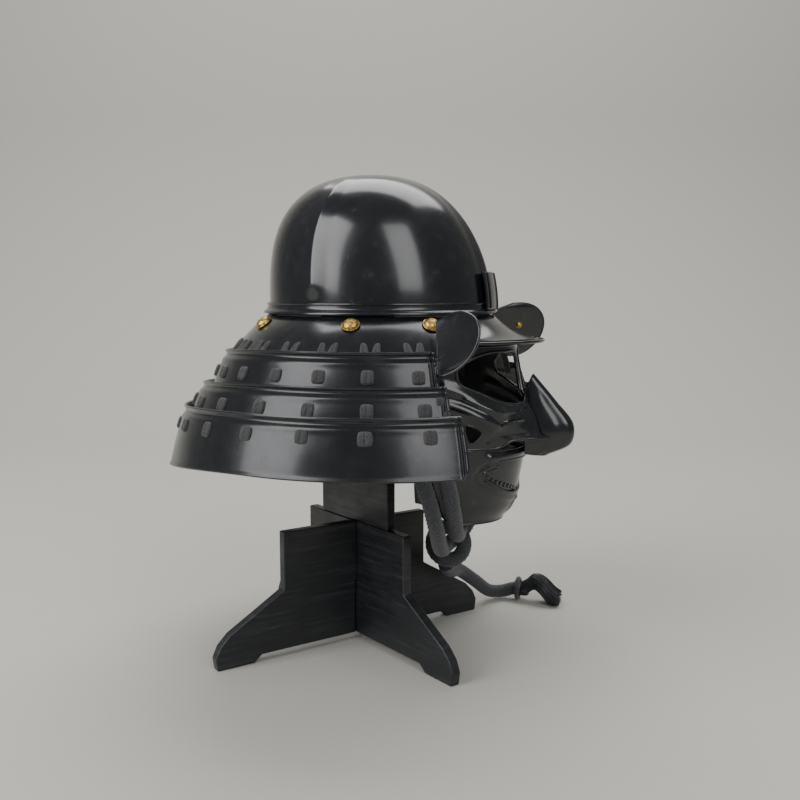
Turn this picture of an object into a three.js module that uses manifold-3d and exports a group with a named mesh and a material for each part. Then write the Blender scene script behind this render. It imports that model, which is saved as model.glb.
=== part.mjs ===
// Samurai helmet with face mask and chin cord, resting on a crossed-plank stand.
// Millimetres. +X is where the mask faces, +Y is the wearer's left, +Z is up.
// The feet of the stand are at z = 0 and the middle of the stand's and helmet's box is at x = y = 0.
import * as THREE from "three";
import { mergeVertices } from "three/addons/utils/BufferGeometryUtils.js";
import Module from "manifold-3d";

const wasm = await Module();
wasm.setup();

// ---------------------------------------------------------------- driving dimensions
const GAP = 0.4; // clearance kept between neighbouring pieces
const DEG = Math.PI / 180;

// Everything below is laid out round the crossing of the planks; this puts the box's middle at 0.
const CENTRE_SHIFT = new THREE.Vector3(-22.44, 0, 0);

const PLANK = {
  thickness: 10,
  halfLength: 157,
  shoulder: 84, // half width of the upright middle part
  shoulderBottom: 67,
  top: 125,
  footLength: 40,
  archRise: 7,
  lapHeight: 62,
  turnA: 54 * DEG,
  turnB: -32.5 * DEG,
  crossing: 3, // where plank b crosses plank a, from plank a's middle
};
const POST = { halfWidth: 58, crown: 455, crownRadius: 40 };

const HELMET_X = 29; // helmet axis, forward of the planks' crossing
const BOWL = {
  halfLength: 110,
  halfWidth: 103,
  rim: 340,
  crown: 470,
  fullness: { front: 2.15, back: 2.75 }, // exponents of the profile: 2 is round, more is squarer
  lean: -3, // how far the crown sits behind the rim's middle
  wall: 2,
  ridgeHeight: 2.6,
  ridgeSpread: 9 * DEG,
  sideRidge: 104 * DEG,
};
const RIM = { bandHeight: 8, bandWall: 1.6, flangeOut: 5.5, flangeThickness: 2.4 };
const CREST = { halfWidth: 18, height: 33, raise: 3.4, bend: 230, wall: 2.4 };
const STUD = { radius: 8.4, height: 5.2, down: 0.28, azimuths: [48, 82, 134, 180, 226, 278, 312] };
const PEAK = {
  spread: 43 * DEG,
  reach: 162, // from the helmet's axis to its edge in front, and at its ends
  sideReach: 134,
  drop: 22,
  hollow: 5, // how much its slope sags in the middle
  top: 335.5,
  wall: 2,
};
const GUARD = { start: 51 * DEG, wall: 2, backFrom: 100 * DEG, swell: 1.5 };
// radius and height of each plate's upper and lower edge; "sag" is how much lower it hangs behind
const LAMES = [
  { name: "neck_guard_lame_upper", r0: 150, z0: 307, r1: 167, z1: 268, sag0: 7, sag1: 7, trim: 0.5 },
  { name: "neck_guard_lame_middle", r0: 172, z0: 280, r1: 187, z1: 246, sag0: 12, sag1: 8, trim: -0.3 },
  { name: "neck_guard_lame_lower", r0: 190, z0: 257, r1: 207, z1: 210, sag0: 10, sag1: 23, trim: -2.4 },
];
const TOP_PLATE = { trim: -7, innerGap: 1.6, z0: 336, r1: 146, z1: 301, sag1: 3, dome: 3 };
const LEAF = {
  length: 50,
  wall: 1.8,
  rootTop: [119, 95, 333],
  rootBottom: [129, 125, 289],
  forward: 0.86, // how a step out from the root splits into forward, sideways and up
  sideways: 0.34,
  up: 0.42,
  droop: 0.5, // how much less it goes up at the lower end
  curl: 6,
  pinAt: [0.45, 0.4],
  pinRadius: 3.4,
  pinHeight: 2.2,
};
const LEAVES = [
  // the two are bent a little differently: "rise" lifts the upper end
  { name: "left", side: 1, rise: 4 },
  { name: "right", side: -1, rise: -1 },
];
const MASK = {
  x: 79, // the mask's own vertical axis
  wall: 2,
  halfSpread: 80 * DEG,
  turn: 65 * DEG, // azimuth from which the side share holds in full
  top: 309,
  split: 216, // where face and jaw meet
  bottom: 140,
};
// what stands out from the mask's plain profile: beside the nose, and at the cheekbones
const WING = { out: 32, z: 221, fade: 46, spread: 21 * DEG };
const CHEEKBONE = { out: 11, z: 247, fade: 16, azimuth: 0.62, spread: 0.35 };
const LIP_GAP = { height: 7.2, from: 22 * DEG, to: 31 * DEG };
const MOUTH_PLATE = { halfSpread: 0.68, bottom: 166, top: 204, wall: 1.6, recess: 8 };
const NOSE_WALL = 1.6;
const CORD = { radius: 7.5, sides: 10 };
const TASSEL = { locks: 12, length: 42, headRadius: 8.5, headLength: 8, lockRadius: 4.3 };
// half width, half height and height of the ring of locks, at shares of their length
const TASSEL_ROWS = [
  { at: 0, wide: 4.2, tall: 4.2, middle: 0 },
  { at: 0.3, wide: 9.5, tall: 10.5, middle: 3.5 },
  { at: 0.65, wide: 12, tall: 8, middle: 0 },
  { at: 1, wide: 14, tall: 3.5, middle: -6.5 },
];
const BINDING = { length: 12, thickness: 5 };

// ---------------------------------------------------------------- materials
const FINISH = {
  lacquer: { color: 0x1b1e21, roughness: 0.22, metalness: 0.35 },
  satinLacquer: { color: 0x23262a, roughness: 0.34, metalness: 0.45 },
  brass: { color: 0xb8923c, roughness: 0.38, metalness: 0.9 },
  wood: { color: 0x17181a, roughness: 0.45, metalness: 0 },
  cord: { color: 0x15171c, roughness: 0.8, metalness: 0 },
  thread: { color: 0x1a1b1e, roughness: 0.6, metalness: 0 },
};

const helmet = new THREE.Group();
helmet.position.copy(CENTRE_SHIFT);

function add(name, geometry, finish) {
  const mesh = new THREE.Mesh(geometry, new THREE.MeshStandardMaterial(FINISH[finish]));
  mesh.name = name;
  helmet.add(mesh);
  return mesh;
}

// ---------------------------------------------------------------- small helpers
const lerp = THREE.MathUtils.lerp;
const smooth = THREE.MathUtils.smoothstep;
const UP = new THREE.Vector3(0, 0, 1);

function weld(geometry) {
  const bare = geometry.index ? geometry.toNonIndexed() : geometry.clone();
  bare.deleteAttribute("normal");
  bare.deleteAttribute("uv");
  return mergeVertices(bare, 1e-3);
}

function toSolid(geometry) {
  const welded = weld(geometry);
  const index = welded.index.array;
  const kept = [];
  for (let i = 0; i < index.length; i += 3) {
    const [a, b, c] = [index[i], index[i + 1], index[i + 2]];
    if (a !== b && b !== c && c !== a) kept.push(a, b, c);
  }
  return new wasm.Manifold(
    new wasm.Mesh({
      numProp: 3,
      vertProperties: new Float32Array(welded.attributes.position.array),
      triVerts: new Uint32Array(kept),
    }),
  );
}

function toGeometry(solid) {
  const mesh = solid.getMesh();
  const geometry = new THREE.BufferGeometry();
  geometry.setAttribute("position", new THREE.BufferAttribute(mesh.vertProperties, 3));
  geometry.setIndex(new THREE.BufferAttribute(mesh.triVerts, 1));
  geometry.computeVertexNormals();
  return geometry;
}

// Closed body from triangles given as corner points; turned inside out if it came out reversed.
function closedBody(triangles) {
  let volume = 0;
  for (const [a, b, c] of triangles) {
    volume += a.dot(new THREE.Vector3().crossVectors(b, c));
  }
  const points = [];
  for (const [a, b, c] of triangles) {
    points.push(a, ...(volume > 0 ? [b, c] : [c, b]));
  }
  const geometry = new THREE.BufferGeometry().setFromPoints(points);
  return toGeometry(toSolid(geometry));
}

// Face normal of surface(u, v) by finite differences.
function surfaceNormal(surface, u, v) {
  const step = 1e-3;
  const along = surface(u + step, v).sub(surface(u - step, v));
  const across = surface(u, Math.min(v + step, 1)).sub(surface(u, Math.max(v - step, 0)));
  return along.cross(across).normalize();
}

// Sheet of even wall below surface(u, v), u and v running 0..1.
// options: columns, rows, wall, side (+1 or -1: which side of the surface the wall is on),
// ring (u closes on itself), pole (v = 1 is a single point).
function sheet(surface, { columns, rows, wall, side = -1, ring = false, pole = false }) {
  const outer = [];
  const inner = [];
  for (let j = 0; j <= rows; j++) {
    const outerRow = [];
    const innerRow = [];
    for (let i = 0; i <= columns; i++) {
      const u = ring && i === columns ? 0 : i / columns;
      const v = j / rows;
      const point = surface(u, v);
      const atPole = pole && j === rows;
      const normal = atPole ? new THREE.Vector3(0, 0, 1) : surfaceNormal(surface, u, v);
      const signedWall = atPole ? -wall : side * wall;
      outerRow.push(point);
      innerRow.push(point.clone().addScaledVector(normal, signedWall));
    }
    outer.push(outerRow);
    inner.push(innerRow);
  }
  const triangles = [];
  const quad = (a, b, c, d) => triangles.push([a, b, c], [a, c, d]);
  for (let j = 0; j < rows; j++) {
    for (let i = 0; i < columns; i++) {
      quad(outer[j][i], outer[j][i + 1], outer[j + 1][i + 1], outer[j + 1][i]);
      quad(inner[j][i + 1], inner[j][i], inner[j + 1][i], inner[j + 1][i + 1]);
    }
    if (!ring) {
      quad(outer[j][0], outer[j + 1][0], inner[j + 1][0], inner[j][0]);
      quad(outer[j + 1][columns], outer[j][columns], inner[j][columns], inner[j + 1][columns]);
    }
  }
  for (let i = 0; i < columns; i++) {
    quad(outer[0][i + 1], outer[0][i], inner[0][i], inner[0][i + 1]);
    if (!pole) quad(outer[rows][i], outer[rows][i + 1], inner[rows][i + 1], inner[rows][i]);
  }
  return closedBody(triangles);
}

// Ring of a closed section [radius offset, height] swept round the bowl's rim ellipse.
function rimRing(section, segments = 36) {
  const triangles = [];
  const at = (k, [offset, z]) => {
    const a = (k / segments) * 2 * Math.PI;
    return bowlRim(a, offset).setZ(z);
  };
  for (let k = 0; k < segments; k++) {
    for (let s = 0; s < section.length; s++) {
      const next = section[(s + 1) % section.length];
      const k1 = (k + 1) % segments;
      triangles.push([at(k, section[s]), at(k1, section[s]), at(k1, next)]);
      triangles.push([at(k, section[s]), at(k1, next), at(k, next)]);
    }
  }
  return closedBody(triangles);
}

// Cutter between two distances from a vertical axis, its outline given as [azimuth, height].
function radialCutter(axisX, outline, near, far) {
  const flat = outline.map(([a, z]) => new THREE.Vector2(a * 100, z));
  const faces = THREE.ShapeUtils.triangulateShape(flat, []);
  const at = (k, r) => {
    const [a, z] = outline[k % outline.length];
    return new THREE.Vector3(axisX + r * Math.cos(a), r * Math.sin(a), z);
  };
  const triangles = [];
  for (const [a, b, c] of faces) {
    triangles.push([at(a, near), at(b, near), at(c, near)], [at(c, far), at(b, far), at(a, far)]);
  }
  const turnsLeft = THREE.ShapeUtils.area(flat) > 0;
  for (let k = 0; k < outline.length; k++) {
    const [a, b] = turnsLeft ? [k + 1, k] : [k, k + 1];
    triangles.push([at(a, near), at(b, near), at(b, far)], [at(a, near), at(b, far), at(a, far)]);
  }
  return toSolid(closedBody(triangles));
}

// Closed smooth outline through a few [azimuth, height] corners.
function roundedOutline(corners, pieces = 2) {
  const curve = new THREE.CatmullRomCurve3(
    corners.map(([a, z]) => new THREE.Vector3(a * 100, z, 0)),
    true,
    "centripetal",
  );
  return curve
    .getPoints(corners.length * pieces)
    .slice(0, -1)
    .map((p) => [p.x / 100, p.y]);
}

function tube(points, radius, steps, sides = CORD.sides) {
  const section = new THREE.Shape();
  for (let k = 0; k < sides; k++) {
    const a = (k / sides) * 2 * Math.PI;
    const [x, y] = [radius * Math.cos(a), radius * Math.sin(a)];
    if (k === 0) section.moveTo(x, y);
    else section.lineTo(x, y);
  }
  section.closePath();
  const path = new THREE.CatmullRomCurve3(points.map((p) => new THREE.Vector3(...p)));
  return new THREE.ExtrudeGeometry(section, { steps, bevelEnabled: false, extrudePath: path });
}

// ---------------------------------------------------------------- helmet bowl
function bowlRim(azimuth, outward = 0) {
  return new THREE.Vector3(
    HELMET_X + (BOWL.halfLength + outward) * Math.cos(azimuth),
    (BOWL.halfWidth + outward) * Math.sin(azimuth),
    BOWL.rim,
  );
}

// Share of the rim's size that is left at a height of 0 (rim) to 1 (crown).
function bowlShare(azimuth, height) {
  const { front, back } = BOWL.fullness;
  const power = lerp(back, front, 0.5 + 0.5 * Math.cos(azimuth));
  return Math.pow(Math.max(0, 1 - Math.pow(height, power)), 1 / power);
}

function ridgeAt(azimuth) {
  let lift = 0;
  for (const ridge of [0, BOWL.sideRidge, -BOWL.sideRidge]) {
    const away = Math.abs(Math.atan2(Math.sin(azimuth - ridge), Math.cos(azimuth - ridge)));
    lift = Math.max(lift, 1 - away / BOWL.ridgeSpread);
  }
  return lift * BOWL.ridgeHeight;
}

function bowlSurface(u, v) {
  const azimuth = u * 2 * Math.PI;
  const rise = Math.sin(Math.min(v, 1) * 0.5 * Math.PI); // rows crowd towards the crown
  const height = Math.pow(rise, 1.15);
  const share = bowlShare(azimuth, height);
  const lift = ridgeAt(azimuth) * smooth(height, 0.06, 0.2) * Math.min(1, share * 3);
  const p = bowlRim(azimuth, lift);
  return new THREE.Vector3(
    HELMET_X + (p.x - HELMET_X) * share + BOWL.lean * smooth(height, 0, 0.8),
    p.y * share,
    lerp(BOWL.rim, BOWL.crown, height),
  );
}

const bowlWalled = sheet(bowlSurface, { columns: 36, rows: 9, wall: BOWL.wall, ring: true, pole: true });
add("bowl", bowlWalled, "lacquer");

const bandTop = BOWL.rim + RIM.bandHeight;
const bandOut = GAP + 0.3;
add(
  "rim_band",
  rimRing([
    [bandOut, bandTop],
    [bandOut, BOWL.rim - GAP],
    [-BOWL.wall, BOWL.rim - GAP],
    [-BOWL.wall, BOWL.rim - GAP - RIM.flangeThickness],
    [bandOut + RIM.flangeOut, BOWL.rim - GAP - RIM.flangeThickness],
    [bandOut + RIM.flangeOut, BOWL.rim - GAP],
    [bandOut + RIM.bandWall, BOWL.rim + RIM.flangeThickness],
    [bandOut + RIM.bandWall, bandTop],
  ]),
  "lacquer",
);

// Flat sleeve on the front of the bowl that a crest slides into.
function crestHolder() {
  const bottom = BOWL.rim + RIM.flangeThickness + GAP;
  const surface = (u, v) => {
    const y = lerp(-CREST.halfWidth, CREST.halfWidth, u);
    const z = bottom + v * CREST.height;
    const height = (z - BOWL.rim) / (BOWL.crown - BOWL.rim);
    const lean = BOWL.lean * smooth(height, 0, 0.8);
    const x = HELMET_X + (BOWL.halfLength + BOWL.ridgeHeight) * bowlShare(0, height) + lean;
    return new THREE.Vector3(x + CREST.raise - (y * y) / CREST.bend, y, z);
  };
  return sheet(surface, { columns: 6, rows: 4, wall: CREST.wall });
}
add("crest_holder", crestHolder(), "lacquer");

// ---------------------------------------------------------------- peak
function peakSurface(u, v) {
  const azimuth = lerp(-PEAK.spread, PEAK.spread, u);
  const root = bowlRim(azimuth, bandOut + RIM.flangeOut - 4).setZ(PEAK.top);
  const open = Math.cos((azimuth / PEAK.spread) * 0.5 * Math.PI);
  const reach = lerp(PEAK.sideReach, PEAK.reach, open * open);
  const edge = new THREE.Vector3(
    HELMET_X + reach * Math.cos(azimuth),
    reach * Math.sin(azimuth),
    PEAK.top - PEAK.drop,
  );
  const point = root.lerp(edge, v);
  point.z -= PEAK.hollow * Math.sin(Math.PI * v);
  return point;
}
add("peak", sheet(peakSurface, { columns: 20, rows: 5, wall: PEAK.wall, side: 1 }), "lacquer");

// ---------------------------------------------------------------- neck guard
function backShare(azimuth) {
  return smooth(Math.abs(azimuth), GUARD.backFrom, Math.PI);
}

function guardAzimuth(u, trim = 0) {
  const start = GUARD.start + trim * DEG;
  return lerp(start, 2 * Math.PI - start, u);
}

function fold(azimuth) {
  return azimuth > Math.PI ? azimuth - 2 * Math.PI : azimuth;
}

function ringPoint(azimuth, radius, z) {
  return new THREE.Vector3(HELMET_X + radius * Math.cos(azimuth), radius * Math.sin(azimuth), z);
}

function topPlateSurface(u, v) {
  const azimuth = guardAzimuth(u, TOP_PLATE.trim);
  const rim = bowlRim(azimuth, bandOut + TOP_PLATE.innerGap).setZ(TOP_PLATE.z0);
  const z1 = TOP_PLATE.z1 - TOP_PLATE.sag1 * backShare(fold(azimuth));
  const edge = ringPoint(azimuth, TOP_PLATE.r1, z1);
  const point = rim.lerp(edge, v);
  point.z += TOP_PLATE.dome * Math.sin(Math.PI * v);
  return point;
}
const topPlate = sheet(topPlateSurface, { columns: 34, rows: 3, wall: GUARD.wall, side: 1 });
add("neck_guard_top_plate", topPlate, "lacquer");

function lameSurface(lame) {
  return (u, v) => {
    const azimuth = guardAzimuth(u, lame.trim);
    const back = backShare(fold(azimuth));
    const radius = lerp(lame.r0, lame.r1, v) + GUARD.swell * Math.sin(Math.PI * v);
    const z = lerp(lame.z0 - lame.sag0 * back, lame.z1 - lame.sag1 * back, v);
    return ringPoint(azimuth, radius, z);
  };
}
for (const lame of LAMES) {
  const walled = sheet(lameSurface(lame), { columns: 34, rows: 2, wall: GUARD.wall, side: 1 });
  add(lame.name, walled, "satinLacquer");
}

// ---------------------------------------------------------------- brass studs
function domed(radius, height) {
  const profile = [new THREE.Vector2(0, 0), new THREE.Vector2(radius, 0)];
  const steps = 3;
  for (let k = 1; k < steps; k++) {
    const a = (k / steps) * 0.5 * Math.PI;
    profile.push(new THREE.Vector2(radius * Math.cos(a), height * Math.sin(a)));
  }
  profile.push(new THREE.Vector2(0, height));
  return new THREE.LatheGeometry(profile, 10).rotateX(0.5 * Math.PI);
}

STUD.azimuths.forEach((degrees, k) => {
  const start = guardAzimuth(0, TOP_PLATE.trim);
  const u = (degrees * DEG - start) / (2 * Math.PI - 2 * start);
  const seat = topPlateSurface(u, STUD.down);
  const normal = surfaceNormal(topPlateSurface, u, STUD.down);
  const stud = add(`brass_stud_${k + 1}`, domed(STUD.radius, STUD.height), "brass");
  if (normal.z < 0) normal.negate();
  stud.quaternion.setFromUnitVectors(new THREE.Vector3(0, 0, 1), normal);
  stud.position.copy(seat).addScaledVector(normal, GAP + 0.5);
});

// ---------------------------------------------------------------- turn-back leaves
// Leaf of the wearer's left; "side" mirrors it. Rows run from the upper to the lower end of the root.
function leafSurface(side, rise) {
  const rootTop = new THREE.Vector3(...LEAF.rootTop);
  rootTop.z += rise;
  const rootBottom = new THREE.Vector3(...LEAF.rootBottom);
  return (u, v) => {
    const root = rootTop.clone().lerp(rootBottom, v);
    const swell = Math.pow(Math.sin(Math.PI * Math.pow(lerp(0.06, 0.97, v), 0.8)), 0.75);
    const out = LEAF.length * swell * u;
    const point = new THREE.Vector3(
      root.x + LEAF.forward * out,
      root.y + LEAF.sideways * out + LEAF.curl * u * u,
      root.z + (LEAF.up - LEAF.droop * v) * out,
    );
    return point.setY(point.y * side);
  };
}
for (const { name, side, rise } of LEAVES) {
  const surface = leafSurface(side, rise);
  const walled = sheet(surface, { columns: 6, rows: 12, wall: LEAF.wall, side });
  add(`turn_back_leaf_${name}`, walled, "lacquer");
  const seat = surface(...LEAF.pinAt);
  const normal = surfaceNormal(surface, ...LEAF.pinAt);
  if (normal.y * side > 0) normal.negate();
  const pin = add(`leaf_pin_${name}`, domed(LEAF.pinRadius, LEAF.pinHeight), "brass");
  pin.quaternion.setFromUnitVectors(new THREE.Vector3(0, 0, 1), normal);
  pin.position.copy(seat).addScaledVector(normal, GAP);
}

// ---------------------------------------------------------------- face mask
// Distance of the mask's face from its own vertical axis.
const MASK_PROFILE = [
  // height, front distance, side share
  { z: 140, front: 74, sides: 0.74 },
  { z: 152, front: 84, sides: 0.8 },
  { z: 172, front: 92, sides: 0.86 },
  { z: 198, front: 97, sides: 0.88 },
  { z: 216, front: 97, sides: 0.88 },
  { z: 240, front: 96, sides: 0.88 },
  { z: 264, front: 94, sides: 0.9 },
  { z: 287, front: 90, sides: 0.94 },
  { z: 309, front: 86, sides: 0.95 },
];

function profileAt(z, key) {
  const rows = MASK_PROFILE;
  let k = 0;
  while (k < rows.length - 2 && z > rows[k + 1].z) k++;
  return lerp(rows[k][key], rows[k + 1][key], (z - rows[k].z) / (rows[k + 1].z - rows[k].z));
}

function bell(x) {
  return Math.exp(-x * x);
}

// "cheek" is 1 where the cheeks stand out from the plain profile and 0 where they don't.
function maskDistance(azimuth, z, cheek) {
  const turned = smooth(Math.abs(azimuth), 0, MASK.turn);
  const base = profileAt(z, "front") * lerp(1, profileAt(z, "sides"), turned);
  const wing = Math.max(0, 1 - Math.abs(z - WING.z) / WING.fade) * bell(azimuth / WING.spread);
  const away = (Math.abs(azimuth) - CHEEKBONE.azimuth) / CHEEKBONE.spread;
  const bone = bell((z - CHEEKBONE.z) / CHEEKBONE.fade) * bell(away);
  return base + cheek * (WING.out * wing + CHEEKBONE.out * bone);
}

function maskSurface(low, high, cheek) {
  return (u, v) => {
    const azimuth = lerp(-MASK.halfSpread, MASK.halfSpread, u);
    const z = lerp(low(azimuth), high(azimuth), v);
    const r = maskDistance(azimuth, z, cheek);
    return new THREE.Vector3(MASK.x + r * Math.cos(azimuth), r * Math.sin(azimuth), z);
  };
}

const mirrored = (outline) => outline.map(([a, z]) => [-a, z]).reverse();
const eye = roundedOutline([
  [0.07, 301],
  [0.32, 303.5],
  [0.68, 301],
  [0.95, 288],
  [0.93, 277],
  [0.72, 268],
  [0.45, 257],
  [0.2, 256],
  [0.09, 264],
  [0.06, 282],
]);
const noseOpening = [
  [-0.1, 266],
  [0.1, 266],
  [0.175, 238],
  [0.19, 200],
  [-0.19, 200],
  [-0.175, 238],
];
const sideOpening = roundedOutline([
  [0.88, 239],
  [0.7, 232.5],
  [0.8, 221.5],
]);

// between the cheeks the face ends higher, which leaves a gap above the lip
function faceLow(azimuth) {
  const share = 1 - smooth(Math.abs(azimuth), LIP_GAP.from, LIP_GAP.to);
  return MASK.split + GAP + LIP_GAP.height * share;
}
let face = toSolid(
  sheet(maskSurface(faceLow, () => MASK.top, 1), { columns: 32, rows: 10, wall: MASK.wall, side: -1 }),
);
for (const outline of [eye, mirrored(eye), noseOpening, sideOpening, mirrored(sideOpening)]) {
  face = face.subtract(radialCutter(MASK.x, outline, 40, 160));
}
add("mask_face", toGeometry(face), "lacquer");

const mouth = roundedOutline([
  [0, 203],
  [0.5, 202],
  [0.47, 198],
  [0.65, 193],
  [0.61, 188],
  [0.47, 180],
  [0.25, 171],
  [0, 168.5],
  [-0.25, 171],
  [-0.47, 180],
  [-0.61, 188],
  [-0.65, 193],
  [-0.47, 198],
  [-0.5, 202],
]);
const jawLow = (azimuth) => MASK.bottom + 26 * smooth(Math.abs(azimuth), 45 * DEG, 80 * DEG);
let jaw = toSolid(
  sheet(maskSurface(jawLow, () => MASK.split, 0), { columns: 28, rows: 6, wall: MASK.wall, side: -1 }),
);
jaw = jaw.subtract(radialCutter(MASK.x, mouth, 40, 160));
add("mask_jaw", toGeometry(jaw), "lacquer");

// Plate behind the mouth.
function mouthPlate() {
  const surface = (u, v) => {
    const azimuth = lerp(-MOUTH_PLATE.halfSpread, MOUTH_PLATE.halfSpread, u);
    const z = lerp(MOUTH_PLATE.bottom, MOUTH_PLATE.top, v);
    const recess = MOUTH_PLATE.recess * smooth(Math.abs(azimuth), 0.1, 0.55);
    const r = maskDistance(azimuth, z, 0) - MASK.wall - GAP - recess;
    return new THREE.Vector3(MASK.x + r * Math.cos(azimuth), r * Math.sin(azimuth), z);
  };
  return sheet(surface, { columns: 10, rows: 3, wall: MOUTH_PLATE.wall, side: -1 });
}
add("mask_mouth_plate", mouthPlate(), "lacquer");

// Large hollow nose between the cheeks, open above and below.
const NOSE_ROWS = [
  // base and ridge: distance forward of the helmet's axis and height; half width at the base
  { base: [147, 262], ridge: [155, 281], half: 8.5 },
  { base: [150, 249], ridge: [176, 257], half: 12 },
  { base: [151, 236], ridge: [193, 235], half: 15.5 },
  { base: [151.5, 224], ridge: [191, 217], half: 16.5 },
  { base: [150.5, 213.5], ridge: [169, 205], half: 16 },
];
const NOSE_SECTION = [
  // across the half width, out towards the ridge
  [-1, 0],
  [-0.86, 0.45],
  [-0.52, 0.86],
  [0, 1],
  [0.52, 0.86],
  [0.86, 0.45],
  [1, 0],
];

function alongRows(rows, v, read) {
  const curve = new THREE.CatmullRomCurve3(rows.map((row) => new THREE.Vector3(...read(row))));
  return curve.getPoint(THREE.MathUtils.clamp(v, 0, 1));
}

function noseSurface(u, v) {
  const base = alongRows(NOSE_ROWS, v, (row) => [row.base[0], row.half, row.base[1]]);
  const ridge = alongRows(NOSE_ROWS, v, (row) => [row.ridge[0], 0, row.ridge[1]]);
  const place = THREE.MathUtils.clamp(u, 0, 1) * (NOSE_SECTION.length - 1);
  const k = Math.min(Math.floor(place), NOSE_SECTION.length - 2);
  const [across, out] = [0, 1].map((n) => lerp(NOSE_SECTION[k][n], NOSE_SECTION[k + 1][n], place - k));
  return new THREE.Vector3(
    HELMET_X + lerp(base.x, ridge.x, out),
    base.y * across,
    lerp(base.z, ridge.z, out),
  );
}

function noseSheet() {
  const columns = 12;
  const rows = 10;
  const inwards = (u, v) => {
    const centre = noseSurface(0.5, v);
    const base = alongRows(NOSE_ROWS, v, (row) => [row.base[0], 0, row.base[1]]);
    const middle = new THREE.Vector3(HELMET_X + base.x, 0, base.z).lerp(centre, 0.3);
    return middle.sub(noseSurface(u, v)).normalize();
  };
  const outer = [];
  const inner = [];
  for (let j = 0; j <= rows; j++) {
    outer.push([]);
    inner.push([]);
    for (let i = 0; i <= columns; i++) {
      const point = noseSurface(i / columns, j / rows);
      outer[j].push(point);
      inner[j].push(point.clone().addScaledVector(inwards(i / columns, j / rows), NOSE_WALL));
    }
  }
  const triangles = [];
  const quad = (a, b, c, d) => triangles.push([a, b, c], [a, c, d]);
  for (let j = 0; j < rows; j++) {
    for (let i = 0; i < columns; i++) {
      quad(outer[j][i], outer[j][i + 1], outer[j + 1][i + 1], outer[j + 1][i]);
      quad(inner[j][i + 1], inner[j][i], inner[j + 1][i], inner[j + 1][i + 1]);
    }
    quad(outer[j][0], outer[j + 1][0], inner[j + 1][0], inner[j][0]);
    quad(outer[j + 1][columns], outer[j][columns], inner[j][columns], inner[j + 1][columns]);
  }
  for (let i = 0; i < columns; i++) {
    quad(outer[0][i + 1], outer[0][i], inner[0][i], inner[0][i + 1]);
    quad(outer[rows][i], outer[rows][i + 1], inner[rows][i + 1], inner[rows][i]);
  }
  return closedBody(triangles);
}
add("mask_nose", noseSheet(), "lacquer");

// ---------------------------------------------------------------- chin cord and tassel
// The cord passes twice from one side of the helmet to the other, outside the jaw and under the
// chin. Each route is given for the wearer's right and mirrored to the left.
const CHIN_ROUTES = {
  chin_cord_upper: [
    [62, -98, 318],
    [78, -98, 284],
    [98, -96, 246],
    [112, -92, 215],
    [122, -88, 190.5],
    [130, -81, 172],
    [133, -66, 150],
    [130, -46, 132.5],
    [124, -22, 132],
    [119, 0, 140.5],
  ],
  chin_cord_lower: [
    [44, -98, 318],
    [58, -99, 280],
    [76, -98, 244],
    [92, -95, 213],
    [105, -90, 186],
    [114.5, -79, 165],
    [116, -64, 139],
    [116, -36, 121],
    [105.5, -12, 110.5],
    [104, 0, 110],
  ],
};
const WRAP = { centre: [104, 2, 110], halfLength: 17.2, halfWidth: 16.2, slant: 56 * DEG };
const TAIL_ROUTE = [
  [94, 14, 84],
  [89, 30, 76],
  [84, 65, 61],
  [82, 104, 50],
  [92, 134, 30],
  [104, 160, 11.5],
  [114, 170.5, 13],
  [122, 173, 14],
  [129, 173, 14],
  [136, 173, 14],
];
const TASSEL_START = new THREE.Vector3(136.8, 173.2, 14);

// Closed tube round the ellipse spanned by two half axes.
function closedTube(centre, halfA, halfB, radius) {
  const segments = 20;
  const sides = 8;
  const across = new THREE.Vector3().crossVectors(halfA, halfB).normalize();
  const at = (k, s) => {
    const a = (k / segments) * 2 * Math.PI;
    const b = (s / sides) * 2 * Math.PI;
    const point = centre.clone().addScaledVector(halfA, Math.cos(a)).addScaledVector(halfB, Math.sin(a));
    const along = halfB.clone().multiplyScalar(Math.cos(a)).addScaledVector(halfA, -Math.sin(a));
    const outward = new THREE.Vector3().crossVectors(along.normalize(), across);
    point.addScaledVector(outward, radius * Math.cos(b));
    return point.addScaledVector(across, radius * Math.sin(b));
  };
  const triangles = [];
  for (let k = 0; k < segments; k++) {
    for (let s = 0; s < sides; s++) {
      const corners = [[k, s], [k + 1, s], [k + 1, s + 1], [k, s + 1]];
      const [p, q, r, t] = corners.map(([m, n]) => at(m % segments, n % sides));
      triangles.push([p, q, r], [p, r, t]);
    }
  }
  return closedBody(triangles);
}

for (const [name, half] of Object.entries(CHIN_ROUTES)) {
  const mirroredHalf = half.slice(0, -1).map(([x, y, z]) => [x, -y, z]);
  add(name, tube([...half, ...mirroredHalf.reverse()], CORD.radius, 40, 8), "cord");
}
const longAxis = new THREE.Vector3(Math.cos(WRAP.slant), 0, Math.sin(WRAP.slant));
const shortAxis = new THREE.Vector3(-Math.sin(WRAP.slant), 0, Math.cos(WRAP.slant));
add(
  "chin_cord_wrap",
  closedTube(
    new THREE.Vector3(...WRAP.centre),
    longAxis.multiplyScalar(WRAP.halfLength),
    shortAxis.multiplyScalar(WRAP.halfWidth),
    CORD.radius,
  ),
  "cord",
);
add("chin_cord_tail", tube(TAIL_ROUTE, CORD.radius, 24, 8), "cord");

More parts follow.
